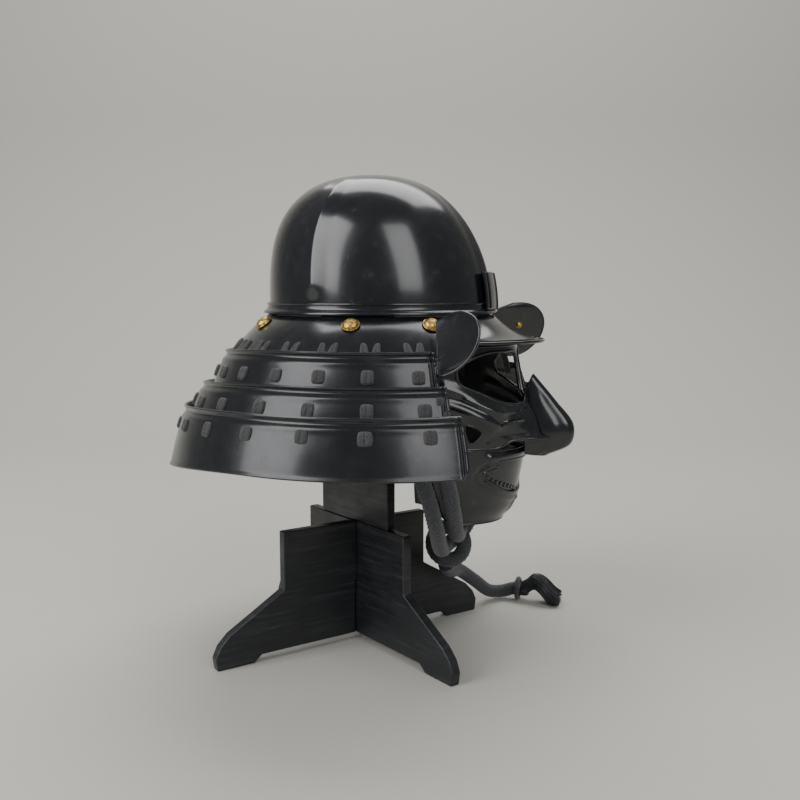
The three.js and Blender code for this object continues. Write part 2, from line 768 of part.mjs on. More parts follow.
// Barrel of thread wound round the cord's end.
function binding() {
  const { length, thickness } = BINDING;
  const inner = CORD.radius + 2 * GAP;
  const profile = [
    new THREE.Vector2(inner, 0),
    new THREE.Vector2(inner + 0.6 * thickness, 0),
    new THREE.Vector2(inner + thickness, 0.25 * length),
    new THREE.Vector2(inner + thickness, 0.75 * length),
    new THREE.Vector2(inner + 0.6 * thickness, length),
    new THREE.Vector2(inner, length),
    new THREE.Vector2(inner, 0),
  ];
  return new THREE.LatheGeometry(profile, 20).rotateZ(0.5 * Math.PI);
}
add("tassel_binding", binding(), "cord").position.set(...TAIL_ROUTE.at(-1));

// Closed body through the rings of TASSEL_ROWS, which fills the space between the locks.
function tasselCore() {
  const sides = 14;
  const at = (row, s) => {
    const a = (s / sides) * 2 * Math.PI;
    const x = 3 + row.at * 0.95 * TASSEL.length;
    return new THREE.Vector3(x, row.wide * Math.cos(a), row.middle + row.tall * Math.sin(a));
  };
  const triangles = [];
  for (let s = 0; s < sides; s++) {
    for (let j = 0; j < TASSEL_ROWS.length - 1; j++) {
      const [near, far] = [TASSEL_ROWS[j], TASSEL_ROWS[j + 1]];
      triangles.push([at(near, s), at(near, s + 1), at(far, s + 1)]);
      triangles.push([at(near, s), at(far, s + 1), at(far, s)]);
    }
    for (const row of [TASSEL_ROWS[0], TASSEL_ROWS.at(-1)]) {
      const middle = at({ ...row, wide: 0, tall: 0 }, 0);
      const edge = [at(row, s), at(row, s + 1)];
      if (row.at === 0) edge.reverse();
      triangles.push([middle, ...edge]);
    }
  }
  return toSolid(closedBody(triangles));
}

// Locks that spread from the head and lie down on the surface.
function tassel() {
  const { locks, length, headRadius, headLength, lockRadius } = TASSEL;
  const head = new THREE.CylinderGeometry(headRadius, headRadius, headLength, 12);
  head.rotateZ(0.5 * Math.PI).translate(0.5 * headLength + 1, 0, 0);
  let solid = toSolid(head).add(tasselCore());
  for (let k = 0; k < locks; k++) {
    const a = (k / locks) * 2 * Math.PI;
    const reach = length + 3 * Math.sin(2.3 * k);
    const points = TASSEL_ROWS.map(({ at, wide, tall, middle }) => {
      const lowest = lockRadius + GAP - TASSEL_START.z;
      return [3 + reach * at, wide * Math.cos(a), Math.max(middle + tall * Math.sin(a), lowest)];
    });
    solid = solid.add(toSolid(tube(points, lockRadius, 5, 6)));
  }
  // the outer skin alone, without the pockets left between the locks
  const skins = solid.decompose();
  return toGeometry(skins.reduce((a, b) => (a.volume() > b.volume() ? a : b)));
}
add("tassel", tassel(), "thread").position.copy(TASSEL_START);

// ---------------------------------------------------------------- stand
function plankOutline() {
  const { halfLength, shoulder, shoulderBottom, top, footLength, archRise } = PLANK;
  const side = [
    [halfLength - footLength, 0],
    [halfLength - 2, 0],
    [halfLength, 12],
    [halfLength - 5, 23],
    [halfLength - 15, 33],
    [shoulder, shoulderBottom],
    [shoulder, top],
  ];
  const arch = [
    [0, archRise],
    [halfLength - footLength - 8, archRise],
  ];
  const left = side.map(([x, y]) => [-x, y]).reverse();
  const archLeft = [[-(halfLength - footLength - 8), archRise]];
  const shape = new THREE.Shape();
  [...arch, ...side, ...left, ...archLeft].forEach(([x, y], k) => {
    if (k === 0) shape.moveTo(x, y);
    else shape.lineTo(x, y);
  });
  shape.closePath();
  return shape;
}

function plank(lapFrom, lapTo, crossing, lapTurn) {
  const body = new THREE.ExtrudeGeometry(plankOutline(), { depth: PLANK.thickness, bevelEnabled: false });
  body.translate(0, 0, -0.5 * PLANK.thickness);
  const slot = new THREE.BoxGeometry(PLANK.thickness + 2 * GAP, lapTo - lapFrom, PLANK.thickness + 4);
  slot.rotateY(lapTurn);
  slot.translate(crossing, 0.5 * (lapFrom + lapTo), 0);
  const cut = toSolid(body).subtract(toSolid(slot));
  return toGeometry(cut).rotateX(0.5 * Math.PI);
}
const lapTurn = PLANK.turnB + 0.5 * Math.PI - PLANK.turnA;
const plankA = add("stand_plank_a", plank(-20, PLANK.lapHeight + GAP, PLANK.crossing, lapTurn), "wood");
plankA.rotation.z = PLANK.turnA;
const crossingPoint = new THREE.Vector3(PLANK.crossing, 0, 0).applyAxisAngle(UP, PLANK.turnA);
const plankB = add("stand_plank_b", plank(PLANK.lapHeight, PLANK.top + 20, 0, -lapTurn), "wood");
plankB.rotation.z = PLANK.turnB;
plankB.position.copy(crossingPoint);

function standPost() {
  const { halfWidth, crown, crownRadius } = POST;
  const shape = new THREE.Shape();
  shape.moveTo(-halfWidth, PLANK.top + GAP);
  shape.lineTo(halfWidth, PLANK.top + GAP);
  shape.lineTo(halfWidth, crown - crownRadius);
  shape.absarc(halfWidth - crownRadius, crown - crownRadius, crownRadius, 0, 0.5 * Math.PI, false);
  shape.absarc(-halfWidth + crownRadius, crown - crownRadius, crownRadius, 0.5 * Math.PI, Math.PI, false);
  shape.closePath();
  const body = new THREE.ExtrudeGeometry(shape, {
    depth: PLANK.thickness,
    bevelEnabled: false,
    curveSegments: 5,
  });
  return body.translate(0, 0, -0.5 * PLANK.thickness).rotateX(0.5 * Math.PI);
}
const post = add("stand_post", standPost(), "wood");
post.rotation.z = PLANK.turnB;
post.position.copy(crossingPoint);

export default helmet;
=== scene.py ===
import math
import random

import bpy
import numpy as np
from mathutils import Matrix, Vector
from mathutils.geometry import delaunay_2d_cdt


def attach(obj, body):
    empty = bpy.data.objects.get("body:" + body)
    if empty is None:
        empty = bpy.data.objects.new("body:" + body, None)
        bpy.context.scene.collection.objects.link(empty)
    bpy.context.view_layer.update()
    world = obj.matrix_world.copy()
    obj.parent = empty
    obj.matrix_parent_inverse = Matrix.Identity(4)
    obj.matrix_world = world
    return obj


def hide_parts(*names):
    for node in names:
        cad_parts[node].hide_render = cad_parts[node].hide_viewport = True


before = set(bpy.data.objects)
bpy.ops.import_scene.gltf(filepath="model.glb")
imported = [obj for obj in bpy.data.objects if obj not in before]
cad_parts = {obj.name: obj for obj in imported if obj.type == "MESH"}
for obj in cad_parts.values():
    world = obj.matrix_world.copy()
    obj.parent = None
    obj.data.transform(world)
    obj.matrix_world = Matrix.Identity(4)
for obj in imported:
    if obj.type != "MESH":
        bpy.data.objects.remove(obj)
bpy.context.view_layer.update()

random.seed(11)
noise = np.random.default_rng(11)

MM = 0.001
CENTRE_X = -22.44  # puts the box's middle at x = 0
DEG = math.pi / 180
FULL = 2 * math.pi

CAMERA = {"place": (0.33956, -0.859, 0.36), "heading": (-0.342, 0.94), "dip": 6.8, "lens": 41.625}

HELMET_X = 29
BOWL = {"half_length": 110, "half_width": 103, "rim": 340, "crown": 470, "lean": -3, "wall": 2}
BOWL_FULLNESS = {"front": 2.15, "back": 2.75}
RIDGES = {"azimuths": (0, 104 * DEG, -104 * DEG), "height": 2.6, "spread": 9 * DEG}
BAND = {"out": 0.7, "wall": 1.6, "top": 348, "flange": 5.5, "flange_top": 339.6, "flange_bottom": 337.2}
CREST = {"half_width": 18, "height": 33, "bottom": 342.8, "raise": 3.4, "bend": 230, "wall": 2.4}
PEAK = {"spread": 43 * DEG, "reach": 162, "side_reach": 134, "drop": 22, "hollow": 5, "top": 335.5}
PLATE_WALL = 2
GUARD_START = 51 * DEG
TOP_PLATE = {"start": 44 * DEG, "root": 2.3, "z0": 336, "r1": 146, "z1": 301, "sag1": 3, "dome": 3}
LAMES = {
    "upper": {"r0": 150, "z0": 307, "r1": 167, "z1": 268, "sag0": 7, "sag1": 7, "trim": 0.5},
    "middle": {"r0": 172, "z0": 280, "r1": 187, "z1": 246, "sag0": 12, "sag1": 8, "trim": -0.3},
    "lower": {"r0": 190, "z0": 257, "r1": 207, "z1": 210, "sag0": 10, "sag1": 23, "trim": -2.4},
}
LAME_CORNERS = {"upper": 2.5, "lower": 9}
LACES = {"gap": 15.34 * DEG, "each_side": 8, "half_width": 6.1, "half_height": 6.6, "thickness": 3.2}
LACE_HEIGHT = {"upper": 0.5, "middle": 0.53, "lower": 0.31}
STUD = {"radius": 8.4, "height": 5.2, "down": 0.28, "seat": 0.9}
STUD_AZIMUTHS = (48, 82, 134, 180, 226, 278, 312)
LEAF_WALL = 1.8
LEAVES = {"left": {"side": 1, "rise": 4}, "right": {"side": -1, "rise": -1}}
MASK_X = 79
MASK_WALL = 2
MASK_SPLIT = 216  # where face and jaw meet
MASK_TOP = 308.4
MASK_GAP = 0.4
JAW_BOTTOM = 140
LIP_GAP = {"height": 7.2, "from": 22, "to": 31}
MOUTH_PLATE = {"half_spread": 0.68, "bottom": 166, "top": 204, "wall": 1.6}
CORD = {"radius": 7.5, "sides": 48, "strands": 8, "pitch": 34, "relief": 0.85}


# ---------------------------------------------------------------- maths
def lerp(a, b, t):
    return a + (b - a) * t


def smooth(x, low, high):
    t = np.clip((x - low) / (high - low), 0, 1)
    return t * t * (3 - 2 * t)


def bell(x):
    return np.exp(-x * x)


def xyz(x, y, z):
    return np.stack(np.broadcast_arrays(x, y, z), axis=-1).astype(float)


def unit(v):
    return v / np.maximum(np.linalg.norm(v, axis=-1, keepdims=True), 1e-9)


def through(points, closed=False, per_span=24):
    """Centripetal Catmull-Rom curve through the points."""
    p = np.asarray(points, float)
    if closed:
        run = np.vstack([p[-1:], p, p[:2]])
    else:
        run = np.vstack([2 * p[0] - p[1], p, 2 * p[-1] - p[-2]])
    out = []
    for k in range(len(run) - 3):
        a, b, c, d = run[k : k + 4]
        t1 = max(np.linalg.norm(b - a), 1e-6) ** 0.5
        t2 = t1 + max(np.linalg.norm(c - b), 1e-6) ** 0.5
        t3 = t2 + max(np.linalg.norm(d - c), 1e-6) ** 0.5
        t = np.linspace(t1, t2, per_span, endpoint=False)[:, None]
        ab = a + (b - a) * t / t1
        bc = b + (c - b) * (t - t1) / (t2 - t1)
        cd = c + (d - c) * (t - t2) / (t3 - t2)
        abc = ab + (bc - ab) * t / t2
        bcd = bc + (cd - bc) * (t - t1) / (t3 - t1)
        out.append(abc + (bcd - abc) * (t - t1) / (t2 - t1))
    if not closed:
        out.append(p[-1:])
    return np.vstack(out)


def evenly(path, step, closed=False):
    """The same path with points an even step apart."""
    run = np.vstack([path, path[:1]]) if closed else path
    away = np.concatenate([[0], np.cumsum(np.linalg.norm(np.diff(run, axis=0), axis=1))])
    count = max(3, int(round(away[-1] / step)))
    at = np.linspace(0, away[-1], count + 1)
    if closed:
        at = at[:-1]
    return np.stack([np.interp(at, away, run[:, k]) for k in range(run.shape[1])], axis=1)


def carried_frames(path, closed):
    """Tangent and two crossing directions along a path, turned as little as possible."""
    if closed:
        tangent = unit(np.roll(path, -1, axis=0) - np.roll(path, 1, axis=0))
    else:
        tangent = unit(np.gradient(path, axis=0))
    first = np.cross(tangent[0], (0, 0, 1))
    if np.linalg.norm(first) < 0.2:
        first = np.cross(tangent[0], (0, 1, 0))
    normals = [unit(first)]
    for t in tangent[1:]:
        n = normals[-1] - t * np.dot(normals[-1], t)
        normals.append(unit(n))
    normal = np.array(normals)
    if closed:
        last = unit(normal[-1] - tangent[0] * np.dot(normal[-1], tangent[0]))
        gap = math.atan2(np.dot(np.cross(last, normal[0]), tangent[0]), np.dot(last, normal[0]))
        turn = np.linspace(0, gap, len(path), endpoint=False)[:, None]
        normal = normal * np.cos(turn) + np.cross(tangent, normal) * np.sin(turn)
    return tangent, normal, np.cross(tangent, normal)


def ring_grid(path, radius, sides, closed=False, shape=None):
    """Points round a path; shape(distance along, angle) gives what to add to the radius."""
    _, normal, across = carried_frames(path, closed)
    angle = np.arange(sides) * FULL / sides
    away = np.concatenate([[0], np.cumsum(np.linalg.norm(np.diff(path, axis=0), axis=1))])
    size = np.broadcast_to(np.asarray(radius, float).reshape(-1, 1), (len(path), sides)).copy()
    if shape is not None:
        size = size + shape(away[:, None], angle[None, :])
    spoke = normal[:, None] * np.cos(angle)[None, :, None] + across[:, None] * np.sin(angle)[None, :, None]
    return path[:, None] + spoke * size[..., None]


# ---------------------------------------------------------------- building a piece
class Piece:
    """Gathers surfaces in millimetres and makes one object of them."""

    def __init__(self):
        self.points, self.faces, self.marks, self.count = [], [], [], 0

    def add(self, points, faces, mark=0):
        points = np.asarray(points, float).reshape(-1, 3)
        self.points.append(points)
        self.faces += [tuple(int(i) + self.count for i in face) for face in faces]
        self.marks += [mark] * len(faces)
        self.count += len(points)

    def grid(self, grid, wrap_rows=False, wrap_columns=False, mark=0, turned=False):
        rows, columns = grid.shape[:2]
        index = np.arange(rows * columns).reshape(rows, columns)
        if wrap_rows:
            index = np.vstack([index, index[:1]])
        if wrap_columns:
            index = np.hstack([index, index[:, :1]])
        corners = [index[:-1, :-1], index[:-1, 1:], index[1:, 1:], index[1:, :-1]]
        if turned:
            corners.reverse()
        faces = np.stack([c.ravel() for c in corners], axis=1)
        self.add(grid, faces.tolist(), mark)

    def tube(self, path, radius, sides=10, closed=False, mark=0, shape=None):
        grid = ring_grid(np.asarray(path, float), radius, sides, closed, shape)
        start = self.count
        self.grid(grid, wrap_rows=closed, wrap_columns=True, mark=mark)
        if not closed:
            first = [start + k for k in range(sides)]
            last = [start + (len(path) - 1) * sides + k for k in range(sides)]
            self.faces += [tuple(reversed(first)), tuple(last)]
            self.marks += [mark, mark]

    def sheet(self, outer, wall, behind, wrap=False, pole=False, marks=(0, 0)):
        """Even wall between outer and a copy of it towards the point "behind"; returns the copy."""
        normal = grid_normals(outer, wrap)
        if pole:
            normal[-1] = (0, 0, 1)
        towards = np.asarray(behind, float) - outer
        if (normal * towards).sum() < 0:
            normal = -normal
        if pole:
            normal[-1] = (0, 0, -1)
        inner = outer + normal * wall
        self.grid(outer, wrap_columns=wrap, mark=marks[0])
        self.grid(inner, wrap_columns=wrap, mark=marks[1], turned=True)
        edges = [(outer[0], inner[0])] if pole else [(outer[0], inner[0]), (outer[-1], inner[-1])]
        if not wrap:
            edges += [(outer[:, 0], inner[:, 0]), (outer[:, -1], inner[:, -1])]
        for near, far in edges:
            self.grid(np.stack([near, far]), wrap_columns=wrap, mark=marks[0])
        return inner

    def make(self, name, materials, slot, *nodes, sharp=38):
        mesh = bpy.data.meshes.new(name)
        points = np.vstack(self.points)
        points[:, 0] += CENTRE_X
        mesh.from_pydata((points * MM).tolist(), [], self.faces)
        for material in materials:
            mesh.materials.append(material)
        mesh.polygons.foreach_set("material_index", self.marks)
        mesh.polygons.foreach_set("use_smooth", [True] * len(self.faces))
        mesh.update()
        mesh.set_sharp_from_angle(angle=sharp * DEG)
        obj = bpy.data.objects.new(name, mesh)
        bpy.context.scene.collection.objects.link(obj)
        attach(obj, "root")
        if nodes:
            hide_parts(*nodes)
        return obj


def grid_normals(grid, wrap):
    if wrap:
        along = np.roll(grid, -1, axis=1) - np.roll(grid, 1, axis=1)
    else:
        along = np.gradient(grid, axis=1)
    return unit(np.cross(along, np.gradient(grid, axis=0)))


def outline_of(grid):
    """Closed loop round a grid of points."""
    return np.vstack([grid[0], grid[1:, -1], grid[-1, -2::-1], grid[-2:0:-1, 0]])


# ---------------------------------------------------------------- materials
def new_material(name, color, roughness, metallic=0.0, coat=0.0, specular=0.5):
    material = bpy.data.materials.new(name)
    material.use_nodes = True
    shader = material.node_tree.nodes["Principled BSDF"]
    shader.inputs["Base Color"].default_value = (*color, 1)
    shader.inputs["Roughness"].default_value = roughness
    shader.inputs["Metallic"].default_value = metallic
    shader.inputs["Coat Weight"].default_value = coat
    shader.inputs["Coat Roughness"].default_value = 0.12
    shader.inputs["Specular IOR Level"].default_value = specular
    return material


def node(material, kind, **values):
    made = material.node_tree.nodes.new(kind)
    for key, value in values.items():
        if key in made.inputs:
            made.inputs[key].default_value = value
        else:
            setattr(made, key, value)
    return made


def link(material, source, target):
    material.node_tree.links.new(source, target)


def grain(material, scale, detail=3.0, stretch=(1, 1, 1), roughness=0.5):
    """Noise in the object's own space; stretch squeezes it along an axis."""
    place = node(material, "ShaderNodeTexCoord").outputs["Object"]
    mapping = node(material, "ShaderNodeMapping", Scale=stretch)
    link(material, place, mapping.inputs["Vector"])
    texture = node(material, "ShaderNodeTexNoise", Scale=scale, Detail=detail, Roughness=roughness)
    link(material, mapping.outputs["Vector"], texture.inputs["Vector"])
    return texture.outputs["Fac"]


def ramp(material, factor, stops):
    made = node(material, "ShaderNodeValToRGB")
    elements = made.color_ramp.elements
    while len(elements) < len(stops):
        elements.new(0.5)
    for element, (place, value) in zip(elements, stops):
        element.position = place
        element.color = (*value, 1) if isinstance(value, tuple) else (value, value, value, 1)
    link(material, factor, made.inputs["Fac"])
    return made.outputs["Color"]


def vary(material, socket, factor, stops):
    shader = material.node_tree.nodes["Principled BSDF"]
    link(material, ramp(material, factor, stops), shader.inputs[socket])


def bump(material, heights):
    """heights: (factor, strength, distance in metres), laid one on another."""
    shader = material.node_tree.nodes["Principled BSDF"]
    before = None
    for factor, strength, distance in heights:
        made = node(material, "ShaderNodeBump", Strength=strength, Distance=distance)
        link(material, factor, made.inputs["Height"])
        if before is not None:
            link(material, before, made.inputs["Normal"])
        before = made.outputs["Normal"]
    link(material, before, shader.inputs["Normal"])


def lacquer():
    made = new_material("black_lacquer_worn", (0.006, 0.007, 0.009), 0.16, coat=0.35)
    vary(made, "Base Color", grain(made, 90, 8, roughness=0.7), [
        (0.0, (0.004, 0.005, 0.006)),
        (0.56, (0.008, 0.009, 0.011)),
        (0.68, (0.022, 0.024, 0.026)),
        (0.8, (0.06, 0.062, 0.064)),
    ])
    vary(made, "Roughness", grain(made, 24, 6), [(0.3, 0.15), (0.6, 0.24), (0.8, 0.38)])
    bump(made, [(grain(made, 14, 2), 0.25, 0.0012), (grain(made, 420, 3), 0.12, 0.0002)])
    return made


def satin_lacquer():
    made = new_material("satin_lacquer_brushed", (0.01, 0.011, 0.012), 0.24, metallic=0.25, coat=0.25)
    vary(made, "Base Color", grain(made, 60, 7), [
        (0.2, (0.009, 0.01, 0.012)),
        (0.6, (0.013, 0.014, 0.016)),
        (0.78, (0.03, 0.03, 0.032)),
    ])
    vary(made, "Roughness", grain(made, 35, 5), [(0.3, 0.19), (0.7, 0.3)])
    bump(made, [(grain(made, 16, 2), 0.3, 0.001), (grain(made, 1300, 4), 0.3, 0.0002)])
    return made


def inside_lacquer():
    made = new_material("inside_lacquer", (0.012, 0.012, 0.013), 0.42)
    vary(made, "Roughness", grain(made, 60, 4), [(0.3, 0.34), (0.7, 0.55)])
    bump(made, [(grain(made, 300, 4), 0.3, 0.0003)])
    return made


def brass():
    made = new_material("aged_brass", (0.62, 0.43, 0.13), 0.3, metallic=1.0)
    vary(made, "Base Color", grain(made, 500, 6, roughness=0.65), [
        (0.3, (0.1, 0.065, 0.02)),
        (0.46, (0.42, 0.28, 0.07)),
        (0.6, (0.74, 0.53, 0.16)),
        (0.75, (0.95, 0.78, 0.35)),
    ])
    vary(made, "Roughness", grain(made, 700, 4), [(0.35, 0.22), (0.65, 0.46)])
    bump(made, [(grain(made, 900, 5), 0.6, 0.0005)])
    return made


def black_wood():
    made = new_material("stained_wood", (0.012, 0.012, 0.014), 0.42)
    streaks = grain(made, 5, 9, (3, 3, 60), 0.68)
    vary(made, "Base Color", streaks, [
        (0.3, (0.006, 0.007, 0.009)),
        (0.52, (0.013, 0.014, 0.017)),
        (0.66, (0.028, 0.03, 0.034)),
        (0.8, (0.075, 0.078, 0.082)),
    ])
    vary(made, "Roughness", grain(made, 40, 6), [(0.3, 0.34), (0.7, 0.55)])
    bump(made, [(streaks, 0.5, 0.0006), (grain(made, 600, 3), 0.15, 0.0002)])
    return made


def braided(name, dark, light):
    made = new_material(name, dark, 0.75)
    vary(made, "Base Color", grain(made, 1400, 4, roughness=0.7), [
        (0.38, dark),
        (0.56, tuple(lerp(a, b, 0.35) for a, b in zip(dark, light))),
        (0.7, light),
    ])
    made.node_tree.nodes["Principled BSDF"].inputs["Sheen Weight"].default_value = 0.3
    bump(made, [(grain(made, 1900, 4), 0.8, 0.0006)])
    return made


def silk_thread():
    made = new_material("silk_thread", (0.02, 0.021, 0.024), 0.34)
    vary(made, "Base Color", grain(made, 130, 3), [
        (0.35, (0.008, 0.009, 0.011)),
        (0.6, (0.026, 0.027, 0.03)),
        (0.78, (0.085, 0.083, 0.08)),
    ])
    made.node_tree.nodes["Principled BSDF"].inputs["Anisotropic"].default_value = 0.5
    return made


LACQUER = lacquer()
SATIN = satin_lacquer()
INSIDE = inside_lacquer()
BRASS = brass()
WOOD = black_wood()
LACE = braided("lace_braid", (0.008, 0.008, 0.009), (0.13, 0.13, 0.135))
BRAID = braided("cord_braid", (0.009, 0.01, 0.014), (0.1, 0.105, 0.12))
THREAD = silk_thread()


# ---------------------------------------------------------------- bowl, rim band, crest holder, peak
def bowl_rim(azimuth, outward, z):
    x = HELMET_X + (BOWL["half_length"] + outward) * np.cos(azimuth)
    return xyz(x, (BOWL["half_width"] + outward) * np.sin(azimuth), z)


def bowl_share(azimuth, height):
    """Share of the rim's size left at a height from 0 at the rim to 1 at the crown."""
    power = lerp(BOWL_FULLNESS["back"], BOWL_FULLNESS["front"], 0.5 + 0.5 * np.cos(azimuth))
    return np.maximum(0, 1 - height**power) ** (1 / power)


def bowl_lean(height):
    return BOWL["lean"] * smooth(height, 0, 0.8)


def ridge_lift(azimuth):
    lift = np.zeros_like(azimuth)
    for place in RIDGES["azimuths"]:
        away = np.abs(np.arctan2(np.sin(azimuth - place), np.cos(azimuth - place)))
        lift = np.maximum(lift, np.maximum(0, 1 - away / RIDGES["spread"]) ** 1.4)
    return lift * RIDGES["height"]


def bowl():
    azimuth, v = np.meshgrid(np.arange(320) * FULL / 320, np.linspace(0, 1, 90))
    height = np.sin(v * 0.5 * math.pi) ** 1.15
    share = bowl_share(azimuth, height)
    lift = ridge_lift(azimuth) * smooth(height, 0.06, 0.2) * np.minimum(1, share * 3)
    rim = bowl_rim(azimuth, lift, 0)
    x = HELMET_X + (rim[..., 0] - HELMET_X) * share + bowl_lean(height)
    grid = xyz(x, rim[..., 1] * share, lerp(BOWL["rim"], BOWL["crown"], height))
    piece = Piece()
    piece.sheet(grid, BOWL["wall"], (HELMET_X, 0, 350), wrap=True, pole=True, marks=(0, 1))
    piece.make("bowl_plates", [LACQUER, INSIDE], "black_lacquer", "bowl")


def rounded_loop(corners):
    """Closed loop with its corners cut twice over."""
    loop = np.asarray(corners, float)
    for _ in range(2):
        following = np.roll(loop, -1, axis=0)
        near, far = lerp(loop, following, 0.2), lerp(loop, following, 0.8)
        loop = np.stack([near, far], axis=1).reshape(-1, 2)
    return loop


def rim_band():
    out, flange = BAND["out"], BAND["flange"]
    section = rounded_loop([
        (out, BAND["top"]),
        (out, BAND["flange_top"]),
        (-BOWL["wall"], BAND["flange_top"]),
        (-BOWL["wall"], BAND["flange_bottom"]),
        (out + flange, BAND["flange_bottom"]),
        (out + flange, BAND["flange_top"]),
        (out + BAND["wall"], BOWL["rim"] + 2.4),
        (out + BAND["wall"], BAND["top"]),
    ])
    azimuth = np.arange(360) * FULL / 360
    grid = bowl_rim(azimuth[:, None], section[None, :, 0], section[None, :, 1])
    piece = Piece()
    piece.grid(grid, wrap_rows=True, wrap_columns=True)
    bead = bowl_rim(azimuth, out + BAND["wall"], BAND["top"] - 1)
    piece.tube(bead, 0.9, 8, closed=True)
    piece.make("rim_band_rolled", [LACQUER], "black_lacquer", "rim_band")


def crest_holder():
    y, z = np.meshgrid(
        np.linspace(-CREST["half_width"], CREST["half_width"], 60),
        CREST["bottom"] + np.linspace(0, CREST["height"], 40),
    )
    height = (z - BOWL["rim"]) / (BOWL["crown"] - BOWL["rim"])
    front = (BOWL["half_length"] + RIDGES["height"]) * bowl_share(np.zeros_like(z), height)
    x = HELMET_X + front + bowl_lean(height) + CREST["raise"] - y * y / CREST["bend"]
    piece = Piece()
    grid = xyz(x, y, z)
    inner = piece.sheet(grid, CREST["wall"], (HELMET_X, 0, 360))
    edge = lerp(outline_of(grid), outline_of(inner), 0.5)
    piece.tube(edge, 1.35, 8, closed=True)
    for side in (-1, 1):  # folded sides of the sleeve
        column = 30 + side * 21
        piece.tube(grid[:, column] + (0.2, 0, 0), 0.9, 8)
    piece.make("crest_holder_sleeve", [LACQUER], "black_lacquer", "crest_holder")


def peak():
    azimuth, v = np.meshgrid(np.linspace(-1, 1, 140) * PEAK["spread"], np.linspace(0, 1, 30))
    root = bowl_rim(azimuth, BAND["out"] + BAND["flange"] - 4, PEAK["top"])
    open_share = np.cos(azimuth / PEAK["spread"] * 0.5 * math.pi) ** 2
    reach = lerp(PEAK["side_reach"], PEAK["reach"], open_share)
    edge_z = PEAK["top"] - PEAK["drop"]
    edge = xyz(HELMET_X + reach * np.cos(azimuth), reach * np.sin(azimuth), edge_z)
    grid = lerp(root, edge, v[..., None])
    grid[..., 2] -= PEAK["hollow"] * np.sin(math.pi * v)
    piece = Piece()
    inner = piece.sheet(grid, PLATE_WALL, (HELMET_X, 0, 150), marks=(0, 1))
    piece.tube(lerp(grid[-1], inner[-1], 0.5), 1.6, 10)
    piece.tube(lerp(grid[-4], grid[-5], 0.5) + (0, 0, 0.1), 0.7, 8)
    piece.make("peak_plate", [LACQUER, INSIDE], "black_lacquer", "peak")


# ---------------------------------------------------------------- neck guard
def back_share(azimuth):
    return smooth(np.abs(azimuth), 100 * DEG, math.pi)


def crowded(count, crowding=0.85):
    """0 to 1 in steps that are finer at both ends."""
    t = np.linspace(0, 1, count)
    return t - crowding * np.sin(FULL * t) / FULL


def guard_azimuth(u, start):
    azimuth = lerp(start, FULL - start, u)
    return np.where(azimuth > math.pi, azimuth - FULL, azimuth)


def ring_point(azimuth, radius, z):
    return xyz(HELMET_X + radius * np.cos(azimuth), radius * np.sin(azimuth), z)


def top_plate_point(azimuth, v):
    rim = bowl_rim(azimuth, TOP_PLATE["root"], TOP_PLATE["z0"])
    z1 = TOP_PLATE["z1"] - TOP_PLATE["sag1"] * back_share(azimuth)
    point = lerp(rim, ring_point(azimuth, TOP_PLATE["r1"], z1), np.asarray(v)[..., None])
    point[..., 2] += TOP_PLATE["dome"] * np.sin(math.pi * np.asarray(v))
    return point


def top_plate():
    u, v = np.meshgrid(crowded(360), np.linspace(0, 1, 24))
    grid = top_plate_point(guard_azimuth(u, TOP_PLATE["start"]), v)
    piece = Piece()
    inner = piece.sheet(grid, PLATE_WALL, (HELMET_X, 0, 150), marks=(0, 1))
    piece.tube(lerp(grid[-1], inner[-1], 0.5), 1.3, 10)
    for column in (0, -1):
        piece.tube(lerp(grid[:, column], inner[:, column], 0.5), 1.3, 8)
    piece.make("top_plate_lacquered", [LACQUER, INSIDE], "black_lacquer", "neck_guard_top_plate")


def lame_height(lame):
    return math.hypot(lame["r1"] - lame["r0"], lame["z1"] - lame["z0"])


def lame_profile(down, height):
    """How far the plate stands out at a distance down from its upper edge."""
    lip = 1.9 * bell(down / 2.0) - 1.1 * bell((down - 4.6) / 2.4)
    shoulder = 0.7 * bell((down - 9) / 3.0)
    return lip + shoulder + 0.9 * bell((height - down) / 1.6)


def lame_point(lame, azimuth, v):
    back = back_share(azimuth)
    height = lame_height(lame)
    radius = lerp(lame["r0"], lame["r1"], v) + 1.5 * np.sin(math.pi * v)
    radius = radius + lame_profile(v * height, height) - 0.9 * v
    z = lerp(lame["z0"] - lame["sag0"] * back, lame["z1"] - lame["sag1"] * back, v)
    return ring_point(azimuth, radius, z)


def corner_inset(away, radius):
    left = np.clip(radius - away, 0, radius)
    return radius - np.sqrt(radius * radius - left * left)


def lame(name, sizes):
    start = GUARD_START + sizes["trim"] * DEG
    u, w = np.meshgrid(crowded(620, 0.93), np.linspace(0, 1, 64))
    away = np.minimum(u, 1 - u) * (FULL - 2 * start) * sizes["r1"]
    height = lame_height(sizes)
    low = corner_inset(away, LAME_CORNERS["upper"]) / height
    high = 1 - corner_inset(away, LAME_CORNERS["lower"]) / height
    azimuth = guard_azimuth(u, start)
    v = lerp(low, high, w)
    grid = lame_point(sizes, azimuth, v)
    spoke = xyz(np.cos(azimuth), np.sin(azimuth), 0)
    grid += spoke * (1.0 * bell((away - 5.5) / 1.3) - 0.7 * bell((away - 3) / 1.1))[..., None]
    piece = Piece()
    inner = piece.sheet(grid, PLATE_WALL, (HELMET_X, 0, 200), marks=(0, 1))
    edge = lerp(outline_of(grid), outline_of(inner), 0.5)
    piece.tube(evenly(edge, 1.4, closed=True), 1.25, 8, closed=True)
    for side in (0, -1):  # painted shade: dark discs of the inside lacquer stand for small holes by the front ends
        for v_hole_shade in (0.3, 0.66):
            column = 9 if side == 0 else -10
            row = int(v_hole_shade * 63)
            # painted shade: a dark disc of the inside lacquer where a hole would be
            piece.add(*small_disc(grid[row, column], spoke[row, column], 1.2), mark=1)
    piece.make(f"lame_{name}_plate", [SATIN, INSIDE], "satin_lacquer", f"neck_guard_lame_{name}")


